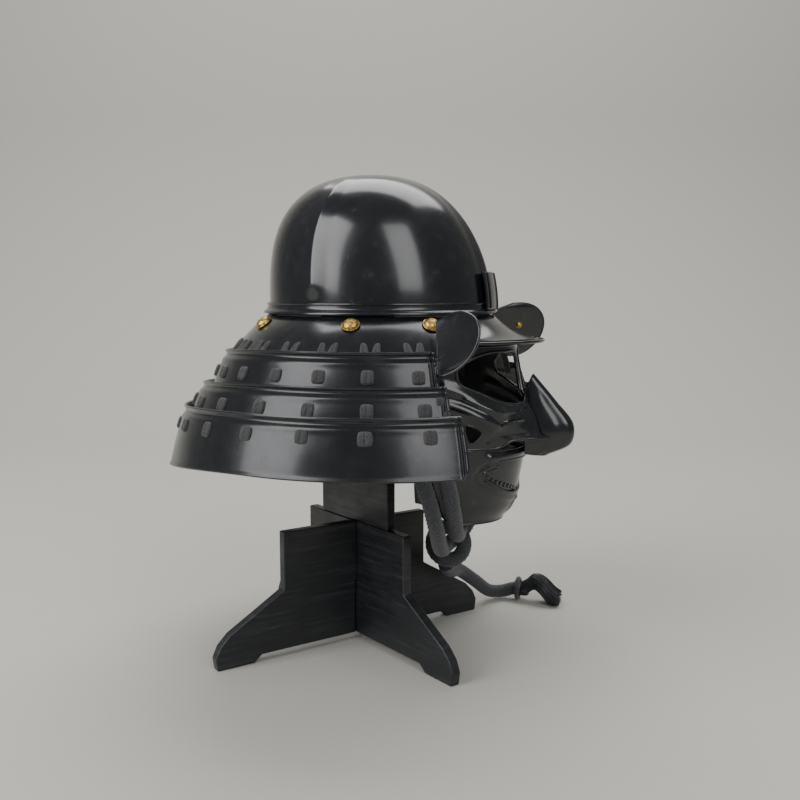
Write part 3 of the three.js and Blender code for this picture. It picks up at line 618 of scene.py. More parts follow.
def small_disc(centre, normal, radius, sides=14):
    side = unit(np.cross(normal, (0, 0, 1)))
    up = np.cross(side, normal)
    angle = np.arange(sides) * FULL / sides
    ring = centre + normal * 0.25 + radius * (
        side * np.cos(angle)[:, None] + up * np.sin(angle)[:, None]
    )
    return ring, [tuple(range(sides))]


# ---------------------------------------------------------------- laces
def lace_pad(piece, seat, normal, half_width, half_height, thickness, taper=0.0, lean=0.0):
    """Knitted pad of a lace on a plate; taper narrows its upper end."""
    side = unit(np.cross((0, 0, 1), normal))
    up = unit(np.cross(normal, side))
    steps = np.linspace(-1, 1, 30)
    a, b = np.meshgrid(steps, steps)
    corner = 1 - 0.16 * (a * b) ** 2  # rounded corners
    width = half_width * (1 - taper * (b + 1) / 2)
    x = a * corner * width + lean * b * half_height
    y = b * corner * half_height
    dome = np.maximum(0, (1 - a**4) * (1 - b**4)) ** 0.35
    weave = np.sin(x * 3.1 + y * 3.1) * np.sin(x * 3.1 - y * 3.1)
    rough = noise.uniform(-1, 1, a.shape)
    out = dome * (thickness + 0.32 * weave + 0.16 * rough) - 0.8
    out = out - 0.7 * bell(x / 0.7) * dome  # groove down the middle
    grid = seat + side * x[..., None] + up * y[..., None] + normal * out[..., None]
    piece.grid(grid)


def lace_azimuths():
    reach = LACES["each_side"]
    return [math.pi + k * LACES["gap"] for k in range(-reach, reach + 1)]


def plate_normal(point_at, azimuth, v, step=0.01):
    along = point_at(azimuth + step, v) - point_at(azimuth - step, v)
    down = point_at(azimuth, v + step) - point_at(azimuth, v - step)
    normal = unit(np.cross(along, down))
    outward = np.array([math.cos(azimuth), math.sin(azimuth), 0.2])
    return normal if np.dot(normal, outward) > 0 else -normal


def folded(azimuth):
    return azimuth - FULL if azimuth > math.pi else azimuth


def lame_laces(name, sizes):
    def point_at(azimuth, v):
        return lame_point(sizes, np.array(folded(azimuth)), np.array(v))

    piece = Piece()
    v = LACE_HEIGHT[name]
    for azimuth in lace_azimuths():
        nudge = azimuth + random.uniform(-0.004, 0.004)
        seat = point_at(nudge, v + random.uniform(-0.012, 0.012))
        normal = plate_normal(point_at, nudge, v)
        size = random.uniform(0.94, 1.06)
        half_height = LACES["half_height"] * random.uniform(0.95, 1.05)
        half_width = LACES["half_width"] * size
        lace_pad(piece, seat, normal, half_width, half_height, LACES["thickness"])
    if name == "middle":  # smaller ties by the front ends
        for side in (-1, 1):
            for degrees, v_tie in ((53.0, 0.32), (51.6, 0.66)):
                azimuth = side * degrees * DEG
                seat = point_at(azimuth, v_tie)
                lace_pad(piece, seat, plate_normal(point_at, azimuth, v_tie), 3.6, 3.6, 2.2)
    piece.make(f"laces_{name}", [LACE], "braided_cord")


def hanging_laces():
    """Strands that go down inside from each plate to the next, behind its upper edge."""
    piece = Piece()
    plates = [None, "upper", "middle", "lower"]
    for above, below in zip(plates[:-1], plates[1:]):
        sizes = LAMES[below]
        for azimuth in lace_azimuths():
            for offset in (-0.018, 0.018):
                place = np.array(folded(azimuth + offset))
                if above is None:
                    start = top_plate_point(place, 0.97)
                else:
                    start = lame_point(LAMES[above], place, np.array(0.93))
                end = lame_point(sizes, place, np.array(0.3))
                inwards = xyz(-np.cos(place), -np.sin(place), 0)
                route = [start + inwards * 4.5, lerp(start, end, 0.5) + inwards * 4, end + inwards * 4]
                path = evenly(through(route, per_span=6), 2.5)
                piece.tube(path, 2.1 * (1 + 0.08 * np.sin(np.arange(len(path)) * 2.1)), 10)
    piece.make("laces_between_plates", [LACE], "braided_cord")


def top_plate_laces():
    piece = Piece()
    for azimuth in lace_azimuths():
        for side in (-1, 1):
            place = azimuth + side * 2.15 * DEG
            seat = top_plate_point(np.array(folded(place)), np.array(0.83))
            normal = plate_normal(
                lambda a, v: top_plate_point(np.array(folded(a)), np.array(v)), place, 0.83
            )
            size = random.uniform(0.95, 1.05)
            lace_pad(piece, seat, normal, 4.6 * size, 8.6, 2.8, taper=0.42, lean=0.12 * side)
    piece.make("laces_top_plate", [LACE], "braided_cord")


# ---------------------------------------------------------------- studs and pins
def lathe(piece, seat, normal, profile, sides=40, rough=0.0):
    """Turned body; profile rows are (radius, height above the seat)."""
    profile = np.asarray(profile, float)
    side = unit(np.cross(normal, (0.1, 0.2, 0.97)))
    up = np.cross(normal, side)
    angle = np.arange(sides) * FULL / sides
    spoke = side * np.cos(angle)[:, None] + up * np.sin(angle)[:, None]
    radius = profile[:, 0][:, None] + rough * noise.uniform(-1, 1, (len(profile), sides))
    radius[0] = radius[-1] = 0.01
    grid = seat + spoke[None] * radius[..., None] + normal * profile[:, 1][:, None, None]
    piece.grid(grid, wrap_columns=True)


def dome_profile(radius, height, collar):
    rows = [(0, 0), (radius, 0), (radius, collar * 0.6), (radius * 0.97, collar)]
    inner = radius * 0.86
    rows.append((inner * 1.02, collar))
    for k in range(13):
        turn = k / 12 * 0.5 * math.pi
        rows.append((inner * math.cos(turn), collar + (height - collar) * math.sin(turn)))
    return rows


def studs():
    def point_at(azimuth, v):
        return top_plate_point(np.array(folded(azimuth)), np.array(v))

    for k, degrees in enumerate(STUD_AZIMUTHS):
        azimuth = degrees * DEG
        normal = plate_normal(point_at, azimuth, STUD["down"])
        seat = point_at(azimuth, STUD["down"]) + normal * STUD["seat"]
        piece = Piece()
        lathe(piece, seat, normal, dome_profile(STUD["radius"], STUD["height"], 0.9), 56, 0.09)
        piece.make(f"stud_{k + 1}_domed", [BRASS], "brass", f"brass_stud_{k + 1}")


# ---------------------------------------------------------------- turn-back leaves
def leaf_point(side, rise, u, v):
    u, v = np.broadcast_arrays(np.asarray(u, float), np.asarray(v, float))
    root = lerp(np.array([119, 95, 333 + rise]), np.array([129, 125, 289]), v[..., None])
    swell = np.sin(math.pi * lerp(0.06, 0.97, v) ** 0.8) ** 0.75
    out = 50 * swell * u
    x = root[..., 0] + 0.86 * out
    y = root[..., 1] + 0.34 * out + 6 * u * u
    return xyz(x, y * side, root[..., 2] + (0.42 - 0.5 * v) * out)


def leaf(name, side, rise):
    u, v = np.meshgrid(np.linspace(0, 1, 50), np.linspace(0, 1, 110))
    grid = leaf_point(side, rise, u, v)
    piece = Piece()
    inner = piece.sheet(grid, LEAF_WALL, (100, 400 * side, 350))
    edge = evenly(lerp(outline_of(grid), outline_of(inner), 0.5), 1.2, closed=True)
    piece.tube(edge, 1.25, 10, closed=True)
    piece.make(f"leaf_{name}_plate", [LACQUER], "black_lacquer", f"turn_back_leaf_{name}")
    at = leaf_point(side, rise, 0.45, 0.4)
    along = leaf_point(side, rise, 0.46, 0.4) - leaf_point(side, rise, 0.44, 0.4)
    down = leaf_point(side, rise, 0.45, 0.41) - leaf_point(side, rise, 0.45, 0.39)
    normal = unit(np.cross(along, down))
    if normal[1] * side > 0:
        normal = -normal
    pin = Piece()
    lathe(pin, at + normal * 0.4, normal, dome_profile(3.4, 2.2, 0.5), 32)
    pin.make(f"pin_{name}_domed", [BRASS], "brass", f"leaf_pin_{name}")


# ---------------------------------------------------------------- face mask
MASK_PROFILE = np.array([
    # height, front distance, side share
    (140, 74, 0.74),
    (152, 84, 0.8),
    (172, 92, 0.86),
    (198, 97, 0.88),
    (216, 97, 0.88),
    (240, 96, 0.88),
    (264, 94, 0.9),
    (287, 90, 0.94),
    (309, 86, 0.95),
])
EYE = [
    (0.07, 301), (0.32, 303.5), (0.68, 301), (0.95, 288), (0.93, 277),
    (0.72, 268), (0.45, 257), (0.2, 256), (0.09, 264), (0.06, 282),
]  # fmt: skip
NOSE_OPENING = [(-0.1, 266), (0.1, 266), (0.175, 238), (0.19, 224.6), (-0.19, 224.6), (-0.175, 238)]
SIDE_OPENING = [(0.88, 239), (0.7, 232.5), (0.8, 221.5)]
MOUTH_HALF = [(0.5, 202), (0.47, 198), (0.56, 195.5), (0.65, 193), (0.61, 188), (0.47, 180), (0.25, 171)]
MASK_SPREAD = 80 * DEG
MESH_STEP = 1.7
# raised (or sunk) lines: amount, half width, then corners as azimuth in degrees and height
FACE_LINES = [
    (2.4, 5.5, [(62, 272), (50, 266), (40, 257), (32, 251)]),
    (2.2, 5.0, [(60, 257), (52, 253), (42, 245), (34, 236)]),
    (-1.3, 3.0, [(60, 264), (50, 259), (41, 250.5), (33, 243)]),
    (1.1, 1.6, [(50, 262), (40, 255), (33, 251), (22, 250), (12, 254)]),
    (-0.9, 2.2, [(36, 224), (31, 229), (26, 229), (17, 229)]),
    (1.3, 2.6, [(6, 262), (9, 245), (11, 228)]),
]
JAW_LINES = [
    (2.6, 3.6, [(33, 207.5), (22, 208), (10, 208.5), (0, 208.5)]),
    (-1.2, 1.6, [(34, 202.5), (38, 199), (43, 190), (38, 180)]),
    (1.5, 2.4, [(36, 184), (27, 174), (15, 165.5), (5, 162.5), (0, 162)]),
    (1.6, 4.0, [(0, 160), (0, 150)]),
]


def mask_point(azimuth, r, z):
    return xyz(MASK_X + r * np.cos(azimuth), r * np.sin(azimuth), z)


def mask_profile(z):
    front = np.interp(z, MASK_PROFILE[:, 0], MASK_PROFILE[:, 1])
    sides = np.interp(z, MASK_PROFILE[:, 0], MASK_PROFILE[:, 2])
    return front, sides


def softened_profile(z, reach=5):
    """The profile averaged over a few heights, so that its bends are round."""
    rows = [mask_profile(z + step) for step in np.linspace(-reach, reach, 7)]
    return [np.mean([row[k] for row in rows], axis=0) for k in (0, 1)]


def mask_distance(azimuth, z, cheek):
    front, sides = softened_profile(z)
    base = front * lerp(1, sides, smooth(np.abs(azimuth), 0, 65 * DEG))
    wing = np.maximum(0, 1 - np.abs(z - 221) / 46) * bell(azimuth / (21 * DEG))
    bone = bell((z - 247) / 16) * bell((np.abs(azimuth) - 0.62) / 0.35)
    return base + cheek * (32 * wing + 11 * bone)


def from_line(azimuth, z, corners):
    """Distance in millimetres on the face from a line of corners (azimuth in degrees)."""
    line = through([(a * 1.55, h) for a, h in corners], per_span=8)
    here = np.stack([np.abs(azimuth) / DEG * 1.55, z], axis=-1)
    least = np.full(len(here), 1e9)
    for a, b in zip(line[:-1], line[1:]):
        step = b - a
        share = np.clip(((here - a) @ step) / max(step @ step, 1e-9), 0, 1)
        least = np.minimum(least, np.linalg.norm(here - a - share[:, None] * step, axis=1))
    return least


def rounded(corners):
    scaled = [(a * 100, z) for a, z in corners]
    loop = evenly(through(scaled, closed=True), 1.3, closed=True)
    return np.stack([loop[:, 0] / 100, loop[:, 1]], axis=1)


def mirrored(loop):
    return (np.asarray(loop, float) * (-1, 1))[::-1]


def inside(loop, points):
    """Which points lie within a closed loop."""
    x, y = points[:, 0], points[:, 1]
    hit = np.zeros(len(points), bool)
    for (x0, y0), (x1, y1) in zip(loop, np.roll(loop, -1, axis=0)):
        crosses = (y0 > y) != (y1 > y)
        with np.errstate(divide="ignore", invalid="ignore"):
            at = x0 + (y - y0) * (x1 - x0) / (y1 - y0)
        hit ^= crosses & (x < at)
    return hit


def pierced_sheet(piece, border, holes, place, wall, bead, hole_beads):
    """Walled sheet over a flat region with holes; place(flat points) gives points in space."""
    loops = [border, *holes]
    flat = [loop * (100, 1) for loop in loops]
    low, high = flat[0].min(axis=0), flat[0].max(axis=0)
    rows = []
    for k, y in enumerate(np.arange(low[1] + 0.8, high[1], MESH_STEP * 0.87)):
        x = np.arange(low[0] + 0.7 + (k % 2) * MESH_STEP * 0.5, high[0], MESH_STEP)
        rows.append(np.stack([x, np.full(len(x), y)], axis=1))
    fill = np.vstack(rows)
    fill = fill[inside(flat[0], fill)]
    for loop in flat[1:]:
        fill = fill[~inside(loop, fill)]
    rim = np.vstack(flat)
    nearest = np.array([np.min(np.sum((rim - p) ** 2, axis=1)) for p in fill])
    fill = fill[nearest > 0.75**2]
    edges, start = [], 0
    for loop in flat:
        count = len(loop)
        edges += [(start + k, start + (k + 1) % count) for k in range(count)]
        start += count
    every = [Vector(p) for p in np.vstack([rim, fill])]
    verts, _, faces, *_ = delaunay_2d_cdt(every, edges, [], 1, 1e-5)
    flat_points = np.array([tuple(v) for v in verts])
    faces = np.array([f for f in faces if len(f) == 3])
    middle = flat_points[faces].mean(axis=1)
    keep = inside(flat[0], middle)
    for loop in flat[1:]:
        keep &= ~inside(loop, middle)
    faces = faces[keep]
    outer = place(flat_points / (100, 1))
    a, b, c = (outer[faces[:, k]] for k in range(3))
    face_normal = np.cross(b - a, c - a)
    normal = np.zeros_like(outer)
    for k in range(3):
        np.add.at(normal, faces[:, k], face_normal)
    normal = unit(normal)
    axis = np.array([MASK_X, 0, 0]) + outer * (0, 0, 1)
    if (normal * (outer - axis)).sum() < 0:
        normal = -normal
        faces = faces[:, ::-1]
    inner = outer - normal * wall
    piece.add(outer, faces.tolist(), 0)
    piece.add(inner, faces[:, ::-1].tolist(), 1)
    for loop, radius in zip(loops, [bead, *hole_beads]):
        ring = place(loop)
        spokes = unit((ring - (MASK_X, 0, 0)) * (1, 1, 0))
        far = ring - spokes * wall
        piece.grid(np.stack([ring, far]), wrap_columns=True, mark=0)
        if radius:
            piece.tube(evenly(lerp(ring, far, 0.35), 1.1, closed=True), radius, 10, closed=True)


def on_mask(lines, cheek):
    def place(flat):
        azimuth, z = flat[:, 0], flat[:, 1]
        r = mask_distance(azimuth, z, cheek)
        for amount, width, corners in lines:
            r = r + amount * bell(from_line(azimuth, z, corners) / width)
        return mask_point(azimuth, r, z)

    return place


def side_to_side(count=150):
    return np.linspace(-MASK_SPREAD, MASK_SPREAD, count)


def upright(azimuth, low, high, count=60):
    z = np.linspace(low, high, count)[1:-1]
    return np.stack([np.full(len(z), azimuth), z], axis=1)


def face_low(azimuth):
    away = np.abs(azimuth) / DEG
    share = smooth(-away, -LIP_GAP["to"], -LIP_GAP["from"])
    return MASK_SPLIT + MASK_GAP + LIP_GAP["height"] * share


def mask_face():
    across = side_to_side()
    low = np.stack([across, face_low(across)], axis=1)
    high = np.stack([across[::-1], np.full(len(across), MASK_TOP)], axis=1)
    border = np.vstack([
        low,
        upright(MASK_SPREAD, face_low(MASK_SPREAD), MASK_TOP),
        high,
        upright(-MASK_SPREAD, MASK_TOP, face_low(MASK_SPREAD)),
    ])
    eye = rounded(EYE)
    opening = rounded(SIDE_OPENING)
    nose = rounded_gently(NOSE_OPENING)
    slot = cheek_slot()
    holes = [eye, mirrored(eye), nose, opening, mirrored(opening), slot, mirrored(slot)]
    piece = Piece()
    place = on_mask(FACE_LINES, 1)
    pierced_sheet(
        piece, border, holes, place, MASK_WALL, 1.2, hole_beads=[1.7, 1.7, 0, 0.9, 0.9, 0.5, 0.5]
    )
    for side in (-1, 1):
        lip = [(side * a * DEG, z) for a, z in ((31, 238.2), (25, 239.2), (17.5, 240.6))]
        path = place(np.asarray(evenly(np.asarray(lip) * (100, 1), 1.0) / (100, 1)))
        piece.tube(path + unit((path - (MASK_X, 0, 0)) * (1, 1, 0)) * 0.5, 1.25, 10)
        # painted shade: a dark disc of the inside lacquer with a rolled rim stands for the small hole in
        # the cheek
        hole_shade_at = place(np.array([[side * 18.5 * DEG, 250.5]]))[0]
        outward = unit((hole_shade_at - (MASK_X, 0, 0)) * (1, 1, 0))
        ring, face = small_disc(hole_shade_at, outward, 1.1)
        piece.add(ring, face, 1)
        piece.tube(ring, 0.45, 6, closed=True)
    piece.make("mask_face_plate", [LACQUER, INSIDE], "black_lacquer", "mask_face")


def rounded_gently(loop):
    cut = rounded_loop(np.asarray(loop) * (100, 1)) / (100, 1)
    even = evenly(cut * (100, 1), 1.5, closed=True)
    return even / (100, 1)


def cheek_slot():
    corners = [(31, 240.6), (24, 241.6), (17.5, 243), (17.5, 244.6), (24, 243.4), (31, 242.2)]
    loop = [(a * DEG, z) for a, z in corners]
    return rounded_gently(loop)


def jaw_low(azimuth):
    return JAW_BOTTOM + 26 * smooth(np.abs(azimuth), 45 * DEG, 80 * DEG)


def mask_jaw():
    across = side_to_side(130)
    low = np.stack([across, jaw_low(across) + 0.6], axis=1)
    dip = 1.4 + 1.2 * smooth(-np.abs(across) / DEG, -34, -26)
    high = np.stack([across, MASK_SPLIT - dip], axis=1)[::-1]
    side_z = (jaw_low(MASK_SPREAD) + 0.6, MASK_SPLIT - 1.4)
    border = np.vstack([
        low,
        upright(MASK_SPREAD, *side_z, 36),
        high,
        upright(-MASK_SPREAD, *reversed(side_z), 36),
    ])
    half = np.asarray(MOUTH_HALF)
    mouth = rounded(np.vstack([half, [(0, 168.5)], mirrored(half), [(0, 203)]]))
    piece = Piece()
    place = on_mask(JAW_LINES, 0)
    pierced_sheet(piece, border, [mouth[::-1]], place, MASK_WALL, 1.1, hole_beads=[1.35])
    piece.make("mask_jaw_plate", [LACQUER, INSIDE], "black_lacquer", "mask_jaw")


def mouth_plate():
    spread = MOUTH_PLATE["half_spread"]
    heights = np.linspace(MOUTH_PLATE["bottom"], MOUTH_PLATE["top"], 50)
    azimuth, z = np.meshgrid(np.linspace(-spread, spread, 90), heights)
    r = mask_distance(azimuth, z, 0) - MASK_WALL - MASK_GAP
    piece = Piece()
    piece.sheet(mask_point(azimuth, r, z), MOUTH_PLATE["wall"], (MASK_X, 0, 185), marks=(0, 1))
    for side in (-1, 1):  # teeth along the lower lip
        for k in range(9):
            share = k / 8
            azimuth = side * lerp(33, 3, share) * DEG
            z = lerp(188, 170.5, share**0.8)
            tooth(piece, azimuth, z, lerp(2.0, 3.0, share))
    piece.make("mask_mouth_inner", [LACQUER, INSIDE], "black_lacquer", "mask_mouth_plate")


def tooth(piece, azimuth, z, size):
    r = float(mask_distance(np.array([azimuth]), np.array([z]), 0)[0]) - MASK_WALL - 0.2
    outward = np.array([math.cos(azimuth), math.sin(azimuth), 0])
    centre = np.array([MASK_X, 0, z + size * 0.6]) + outward * r
    lathe(piece, centre, outward, [(0, 0), (size, 0), (size * 0.9, 0.6), (size * 0.5, 1.1), (0, 1.2)], 16)


NOSE_BASE = [(147, 262, 8.5), (150, 249, 12), (151, 236, 15.5), (152, 222, 16.5), (151, 208, 16.5)]
NOSE_RIDGE = [(155, 281, 0), (176, 257, 0), (193, 235, 0), (191, 217, 0), (169, 205, 0)]
NOSE_SECTION = [(-1, 0), (-0.86, 0.45), (-0.52, 0.86), (0, 1), (0.52, 0.86), (0.86, 0.45), (1, 0)]


def mask_nose():
    rows = 80
    base = evenly(through(NOSE_BASE), 0.8)
    ridge = evenly(through(NOSE_RIDGE), 0.8)
    at = np.linspace(0, 1, rows)
    base, ridge = (
        np.stack([np.interp(at, np.linspace(0, 1, len(line)), line[:, k]) for k in range(3)], axis=1)
        for line in (base, ridge)
    )
    section = through(NOSE_SECTION, per_span=12)
    across, out = section[:, 0][None], section[:, 1][None]
    crease = 1.6 * bell((np.abs(across) - 0.62) / 0.12) * smooth(at, 0.05, 0.3)[:, None]
    out = out - crease * 0.02
    x = HELMET_X + lerp(base[:, :1], ridge[:, :1], out) - crease * 0.6
    z = lerp(base[:, 1:2], ridge[:, 1:2], out)
    y = base[:, 2:3] * across
    piece = Piece()
    outer = xyz(x, y, z)
    middle = (HELMET_X + 160, 0, 232)
    inner = piece.sheet(outer, 1.6, middle, marks=(0, 1))
    edge = lerp(outline_of(outer), outline_of(inner), 0.5)
    piece.tube(evenly(edge, 1.2, closed=True), 1.05, 8, closed=True)
    piece.make("mask_nose_plate", [LACQUER, INSIDE], "black_lacquer", "mask_nose")


# ---------------------------------------------------------------- chin cord and tassel
UPPER_HALF = [
    (62, -98, 318), (76, -98, 285), (100, -95, 248), (116, -88, 215),
    (124, -79, 185), (126, -68, 158), (122, -42, 131), (117, 0, 136),
]  # fmt: skip
LOWER_HALF = [
    (44, -98, 318), (56, -99, 280), (80, -97, 240), (98, -93, 205),
    (107, -84, 173), (111, -72, 142), (106, -42, 116), (100, 0, 109),
]  # fmt: skip
TAIL_ROUTE = [
    (94, 14, 84), (89, 30, 76), (84, 65, 61), (82, 104, 50), (92, 134, 30),
    (103, 158, 12), (116, 170, 9.5), (127, 172.4, 13), (136, 173, 14),
]  # fmt: skip
WRAP = {"centre": (100, 2, 109), "half_length": 17.2, "half_width": 16.2, "slant": 56 * DEG}
BINDING = {"centre": (133.4, 173, 14), "radius": 10.9, "wire": 2.6}
TASSEL = {"start": (136.8, 173.2, 14.0), "threads": 620}


def braid(away, angle):
    """Relief of a round braid: strands wound both ways, passing over and under."""
    each_way = CORD["strands"] / 2
    along = each_way * (away * FULL / CORD["pitch"])
    one, two = along + angle * each_way, along - angle * each_way
    over = np.cos(one) * np.cos(two)
    split = 0.25 * np.cos(3 * one) * np.cos(two) + 0.25 * np.cos(one) * np.cos(3 * two)
    return CORD["relief"] * (np.abs(over) ** 0.7 * 1.3 - 0.75 + 0.3 * split)


def cord_path(points):
    return evenly(through(points), 1.2)


def both_sides(half):
    return [*half, *[(x, -y, z) for x, y, z in reversed(half[:-1])]]


def braided_cord(name, path, node_name, closed=False):
    piece = Piece()
    piece.tube(path, CORD["radius"] - 0.35, CORD["sides"], closed=closed, shape=braid)
    return piece.make(name, [BRAID], "braided_cord", node_name, sharp=80)


def chin_cords():
    upper = cord_path(both_sides(UPPER_HALF))
    lower = cord_path(both_sides(LOWER_HALF))
    tail = cord_path(TAIL_ROUTE)
    turn = np.arange(110) * FULL / 110
    slant = WRAP["slant"]
    long_axis = np.array([math.cos(slant), 0, math.sin(slant)]) * WRAP["half_length"]
    short_axis = np.array([-math.sin(slant), 0, math.cos(slant)]) * WRAP["half_width"]
    wrap = WRAP["centre"] + long_axis * np.cos(turn)[:, None] + short_axis * np.sin(turn)[:, None]
    upper_cord = braided_cord("cord_upper", upper, "chin_cord_upper")
    lower_cord = braided_cord("cord_lower", lower, "chin_cord_lower")
    wrap_cord = braided_cord("cord_wrap", wrap, "chin_cord_wrap", closed=True)
    tail_cord = braided_cord("cord_tail", tail, "chin_cord_tail")
    binding = tassel_binding()
    threads = tassel()


def tassel_binding():
    """Ring of fine thread wound round the cord's end."""
    piece = Piece()
    turn = np.arange(180) * FULL / 180
    centre = np.array(BINDING["centre"], float)
    ring = centre + xyz(0, np.cos(turn), np.sin(turn)) * BINDING["radius"]

    def winding(away, angle):
        return 0.22 * np.cos(angle * 9 + away * 0.9) - 0.25

    piece.tube(ring, BINDING["wire"], 26, closed=True, shape=winding)
    return piece.make("binding_wound", [BRAID], "braided_cord", "tassel_binding", sharp=80)


def tassel():
    """Several hundred threads that leave the head, spread and lie down."""
    piece = Piece()
    start = np.array(TASSEL["start"])
    head = [start + (x, 0, 0) for x in np.linspace(0.5, 9, 10)]
    piece.tube(head, [7.6, 8.2, 8.4, 8.5, 8.5, 8.4, 8.3, 8.1, 7.7, 7.0], 32)
    for k in range(TASSEL["threads"]):
        a = FULL * k * 0.6180339887
        depth = math.sqrt((k % 97 + 0.5) / 97)
        reach = (38 + 6.5 * random.random()) * (0.94 + 0.06 * depth)
        spread = (15 + 1.2 * random.random()) * depth
        head_r = 8.2 * (0.55 + 0.45 * depth)
        bend = random.uniform(-1.6, 1.6)
        points = []
        for t in (0, 0.12, 0.35, 0.6, 0.82, 1):
            r = lerp(head_r, spread, smooth(t, 0, 0.9))
            drop = 4 + 11 * math.sin(math.pi * min(1, t + 0.15)) - 8 * t * t
            z = r * math.sin(a) * (1 - 0.45 * t) + (drop - 4) * smooth(t, 0, 0.3)
            y = r * math.cos(a) + bend * t * t
            z = max(z, 1.1 + 0.9 * random.random() - start[2])
            points.append((2 + reach * t, y, z))
        path = evenly(through(points, per_span=3), 3.4) + start
        radius = np.interp(np.linspace(0, 1, len(path)), (0, 0.75, 1), (0.62, 0.52, 0.3))
        piece.tube(path, radius, 5)
    return piece.make("tassel_threads", [THREAD], "tassel_thread", "tassel", sharp=80)


# ---------------------------------------------------------------- stand
PLANK = {
    "half_length": 157, "foot": 40, "arch": 7, "thickness": 10,
    "shoulder": 84, "shoulder_bottom": 67.4, "top": 125,
}  # fmt: skip
PLANK_TURN = {"a": 54 * DEG, "b": -32.5 * DEG}
CROSSING = 3
LAP_HEIGHT = 62
LAP_PLAY = 0.4
LAP_WIDTH = 11.4
POST = {"half_width": 58, "bottom": 125.4, "crown": 455, "corner": 40}


def arc(centre, radius, start, end, count):
    turn = np.linspace(start, end, count) * DEG
    return [(centre[0] + radius * math.cos(t), centre[1] + radius * math.sin(t)) for t in turn]


def plank_outline(slot_from_below, slot_at):
    half, shoulder, top, arch = (PLANK[key] for key in ("half_length", "shoulder", "top", "arch"))
    foot = half - PLANK["foot"]
    side = [(foot, 0), (half - 2, 0), (half, 12), (half - 5, 23), (half - 15, 33)]
    side += [(shoulder + 2.5, 65.8), (shoulder, PLANK["shoulder_bottom"]), (shoulder, top)]
    left = [(-x, z) for x, z in reversed(side)]
    slot = [slot_at - LAP_WIDTH / 2, slot_at + LAP_WIDTH / 2]
    if slot_from_below:
        lap = LAP_HEIGHT + LAP_PLAY
        under = [(slot[0], arch), (slot[0], lap), (slot[1], lap), (slot[1], arch)]
        return [*left, (-foot + 8, arch), *under, (foot - 8, arch), *side]
    over = [(slot[1], top), (slot[1], LAP_HEIGHT), (slot[0], LAP_HEIGHT), (slot[0], top)]
    return [(-foot + 8, arch), (foot - 8, arch), *side, *over, *left]


def board(name, outline, turn, middle, node_name):
    """Upright board with eased edges."""
    half = PLANK["thickness"] / 2
    count = len(outline)
    direction = np.array([math.cos(turn), math.sin(turn), 0])
    across = np.array([-math.sin(turn), math.cos(turn), 0])
    points = []
    for side in (-half, half):
        for s, z in outline:
            points.append(np.array([middle[0], middle[1], z]) + direction * s + across * side)
    faces = [tuple(range(count)), tuple(reversed(range(count, 2 * count)))]
    faces += [(k, k + count, (k + 1) % count + count, (k + 1) % count) for k in range(count)]
    piece = Piece()
    piece.add(points, faces)
    made = piece.make(name, [WOOD], "black_wood", node_name, sharp=30)
    eased = made.modifiers.new("eased_edges", "BEVEL")
    eased.width = 1.1 * MM
    eased.segments = 3
    eased.limit_method = "ANGLE"
    eased.angle_limit = 25 * DEG
    return made


def stand():
    direction = np.array([math.cos(PLANK_TURN["a"]), math.sin(PLANK_TURN["a"])])
    crossing = direction * CROSSING
    board("plank_a_board", plank_outline(True, CROSSING), PLANK_TURN["a"], (0, 0), "stand_plank_a")
    board("plank_b_board", plank_outline(False, 0), PLANK_TURN["b"], crossing, "stand_plank_b")
    half, corner = POST["half_width"], POST["corner"]
    crown = POST["crown"]
    outline = [(-half, POST["bottom"]), (half, POST["bottom"])]
    outline += arc((half - corner, crown - corner), corner, 0, 90, 16)
    outline += arc((-half + corner, crown - corner), corner, 90, 180, 16)
    board("post_board", outline, PLANK_TURN["b"], crossing, "stand_post")


# ---------------------------------------------------------------- camera, stage and light
SOFTBOXES = {
    # turn and rise in degrees, distance, width and height in metres, power in watts
    "softbox_left": (-58, 30, 2.6, 1.5, 2.4, 62),
    "softbox_right": (27, 34, 2.6, 1.1, 2.3, 30),
    "softbox_above": (170, 62, 2.6, 2.6, 1.6, 60),
}


def set_camera():
    data = bpy.data.cameras.new("camera")
    data.lens = CAMERA["lens"]
    data.sensor_width = 36
    camera = bpy.data.objects.new("camera", data)
    dip = CAMERA["dip"] * DEG
    heading = Vector((*CAMERA["heading"], 0)).normalized()
    look = heading * math.cos(dip) + Vector((0, 0, -math.sin(dip)))
    camera.location = CAMERA["place"]
    camera.rotation_euler = look.to_track_quat("-Z", "Y").to_euler()
    bpy.context.scene.collection.objects.link(camera)
    bpy.context.scene.camera = camera


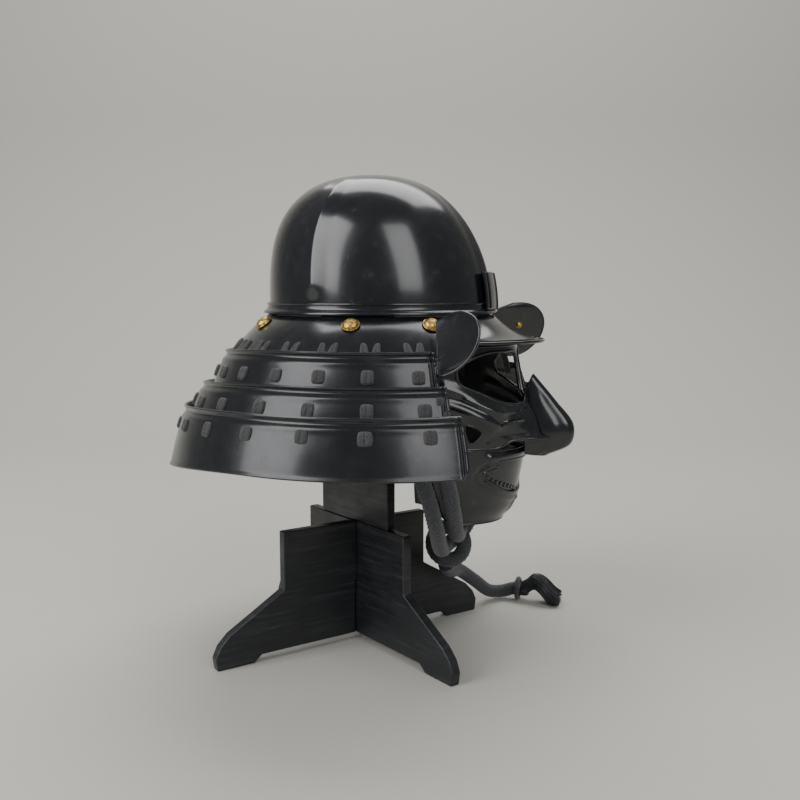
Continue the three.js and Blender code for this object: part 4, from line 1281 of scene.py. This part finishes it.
def backdrop():
    """Pale floor that bends up into a pale wall behind."""
    stone = new_material("pale_stage", (0.5, 0.49, 0.45), 0.9)
    profile = [(y, 0) for y in (-3.2, -1.5, 0, 1.2)]
    profile += [(1.2 + 0.9 * math.sin(t), 0.9 - 0.9 * math.cos(t)) for t in np.linspace(0.1, 1.57, 14)]
    profile += [(2.1, 2.4), (2.1, 3.6)]
    heading = np.array([*CAMERA["heading"], 0])
    heading = heading / np.linalg.norm(heading)
    side = np.array([heading[1], -heading[0], 0])
    columns = 9
    rows = []
    for away, height in profile:
        rows.append([heading * away + side * w + (0, 0, height) for w in np.linspace(-4, 4, columns)])
    points = np.array(rows).reshape(-1, 3)
    faces = []
    for j in range(len(profile) - 1):
        for i in range(columns - 1):
            k = j * columns + i
            faces.append((k, k + 1, k + columns + 1, k + columns))
    mesh = bpy.data.meshes.new("stage")
    mesh.from_pydata(points.tolist(), [], faces)
    mesh.materials.append(stone)
    mesh.polygons.foreach_set("use_smooth", [True] * len(faces))
    made = bpy.data.objects.new("stage", mesh)
    bpy.context.scene.collection.objects.link(made)


def softbox(name, turn, rise, distance, width, height, power):
    """Area light round the helmet; turn is counted to the right of the camera's own side."""
    data = bpy.data.lights.new(name, "AREA")
    data.shape = "RECTANGLE"
    data.size = width
    data.size_y = height
    data.energy = power
    lamp = bpy.data.objects.new(name, data)
    target = Vector((0.0, 0.0, 0.3))
    back = -Vector((*CAMERA["heading"], 0)).normalized()
    right = Vector((CAMERA["heading"][1], -CAMERA["heading"][0], 0)).normalized()
    flat = back * math.cos(turn * DEG) + right * math.sin(turn * DEG)
    lamp.location = target + distance * (flat * math.cos(rise * DEG) + Vector((0, 0, math.sin(rise * DEG))))
    lamp.rotation_euler = (target - lamp.location).to_track_quat("-Z", "Y").to_euler()
    bpy.context.scene.collection.objects.link(lamp)


def lights():
    for name, row in SOFTBOXES.items():
        softbox(name, *row)
    world = bpy.data.worlds.new("room")
    world.use_nodes = True
    world.node_tree.nodes["Background"].inputs["Color"].default_value = (0.9, 0.93, 0.98, 1)
    world.node_tree.nodes["Background"].inputs["Strength"].default_value = 0.22
    bpy.context.scene.world = world


# ---------------------------------------------------------------- the whole
def main():
    set_camera()
    chin_cords()
    bowl()
    rim_band()
    crest_holder()
    peak()
    top_plate()
    for name, sizes in LAMES.items():
        lame(name, sizes)
        lame_laces(name, sizes)
    hanging_laces()
    top_plate_laces()
    studs()
    for name, bent in LEAVES.items():
        leaf(name, bent["side"], bent["rise"])
    mask_face()
    mask_jaw()
    mouth_plate()
    mask_nose()
    stand()
    backdrop()
    lights()


main()
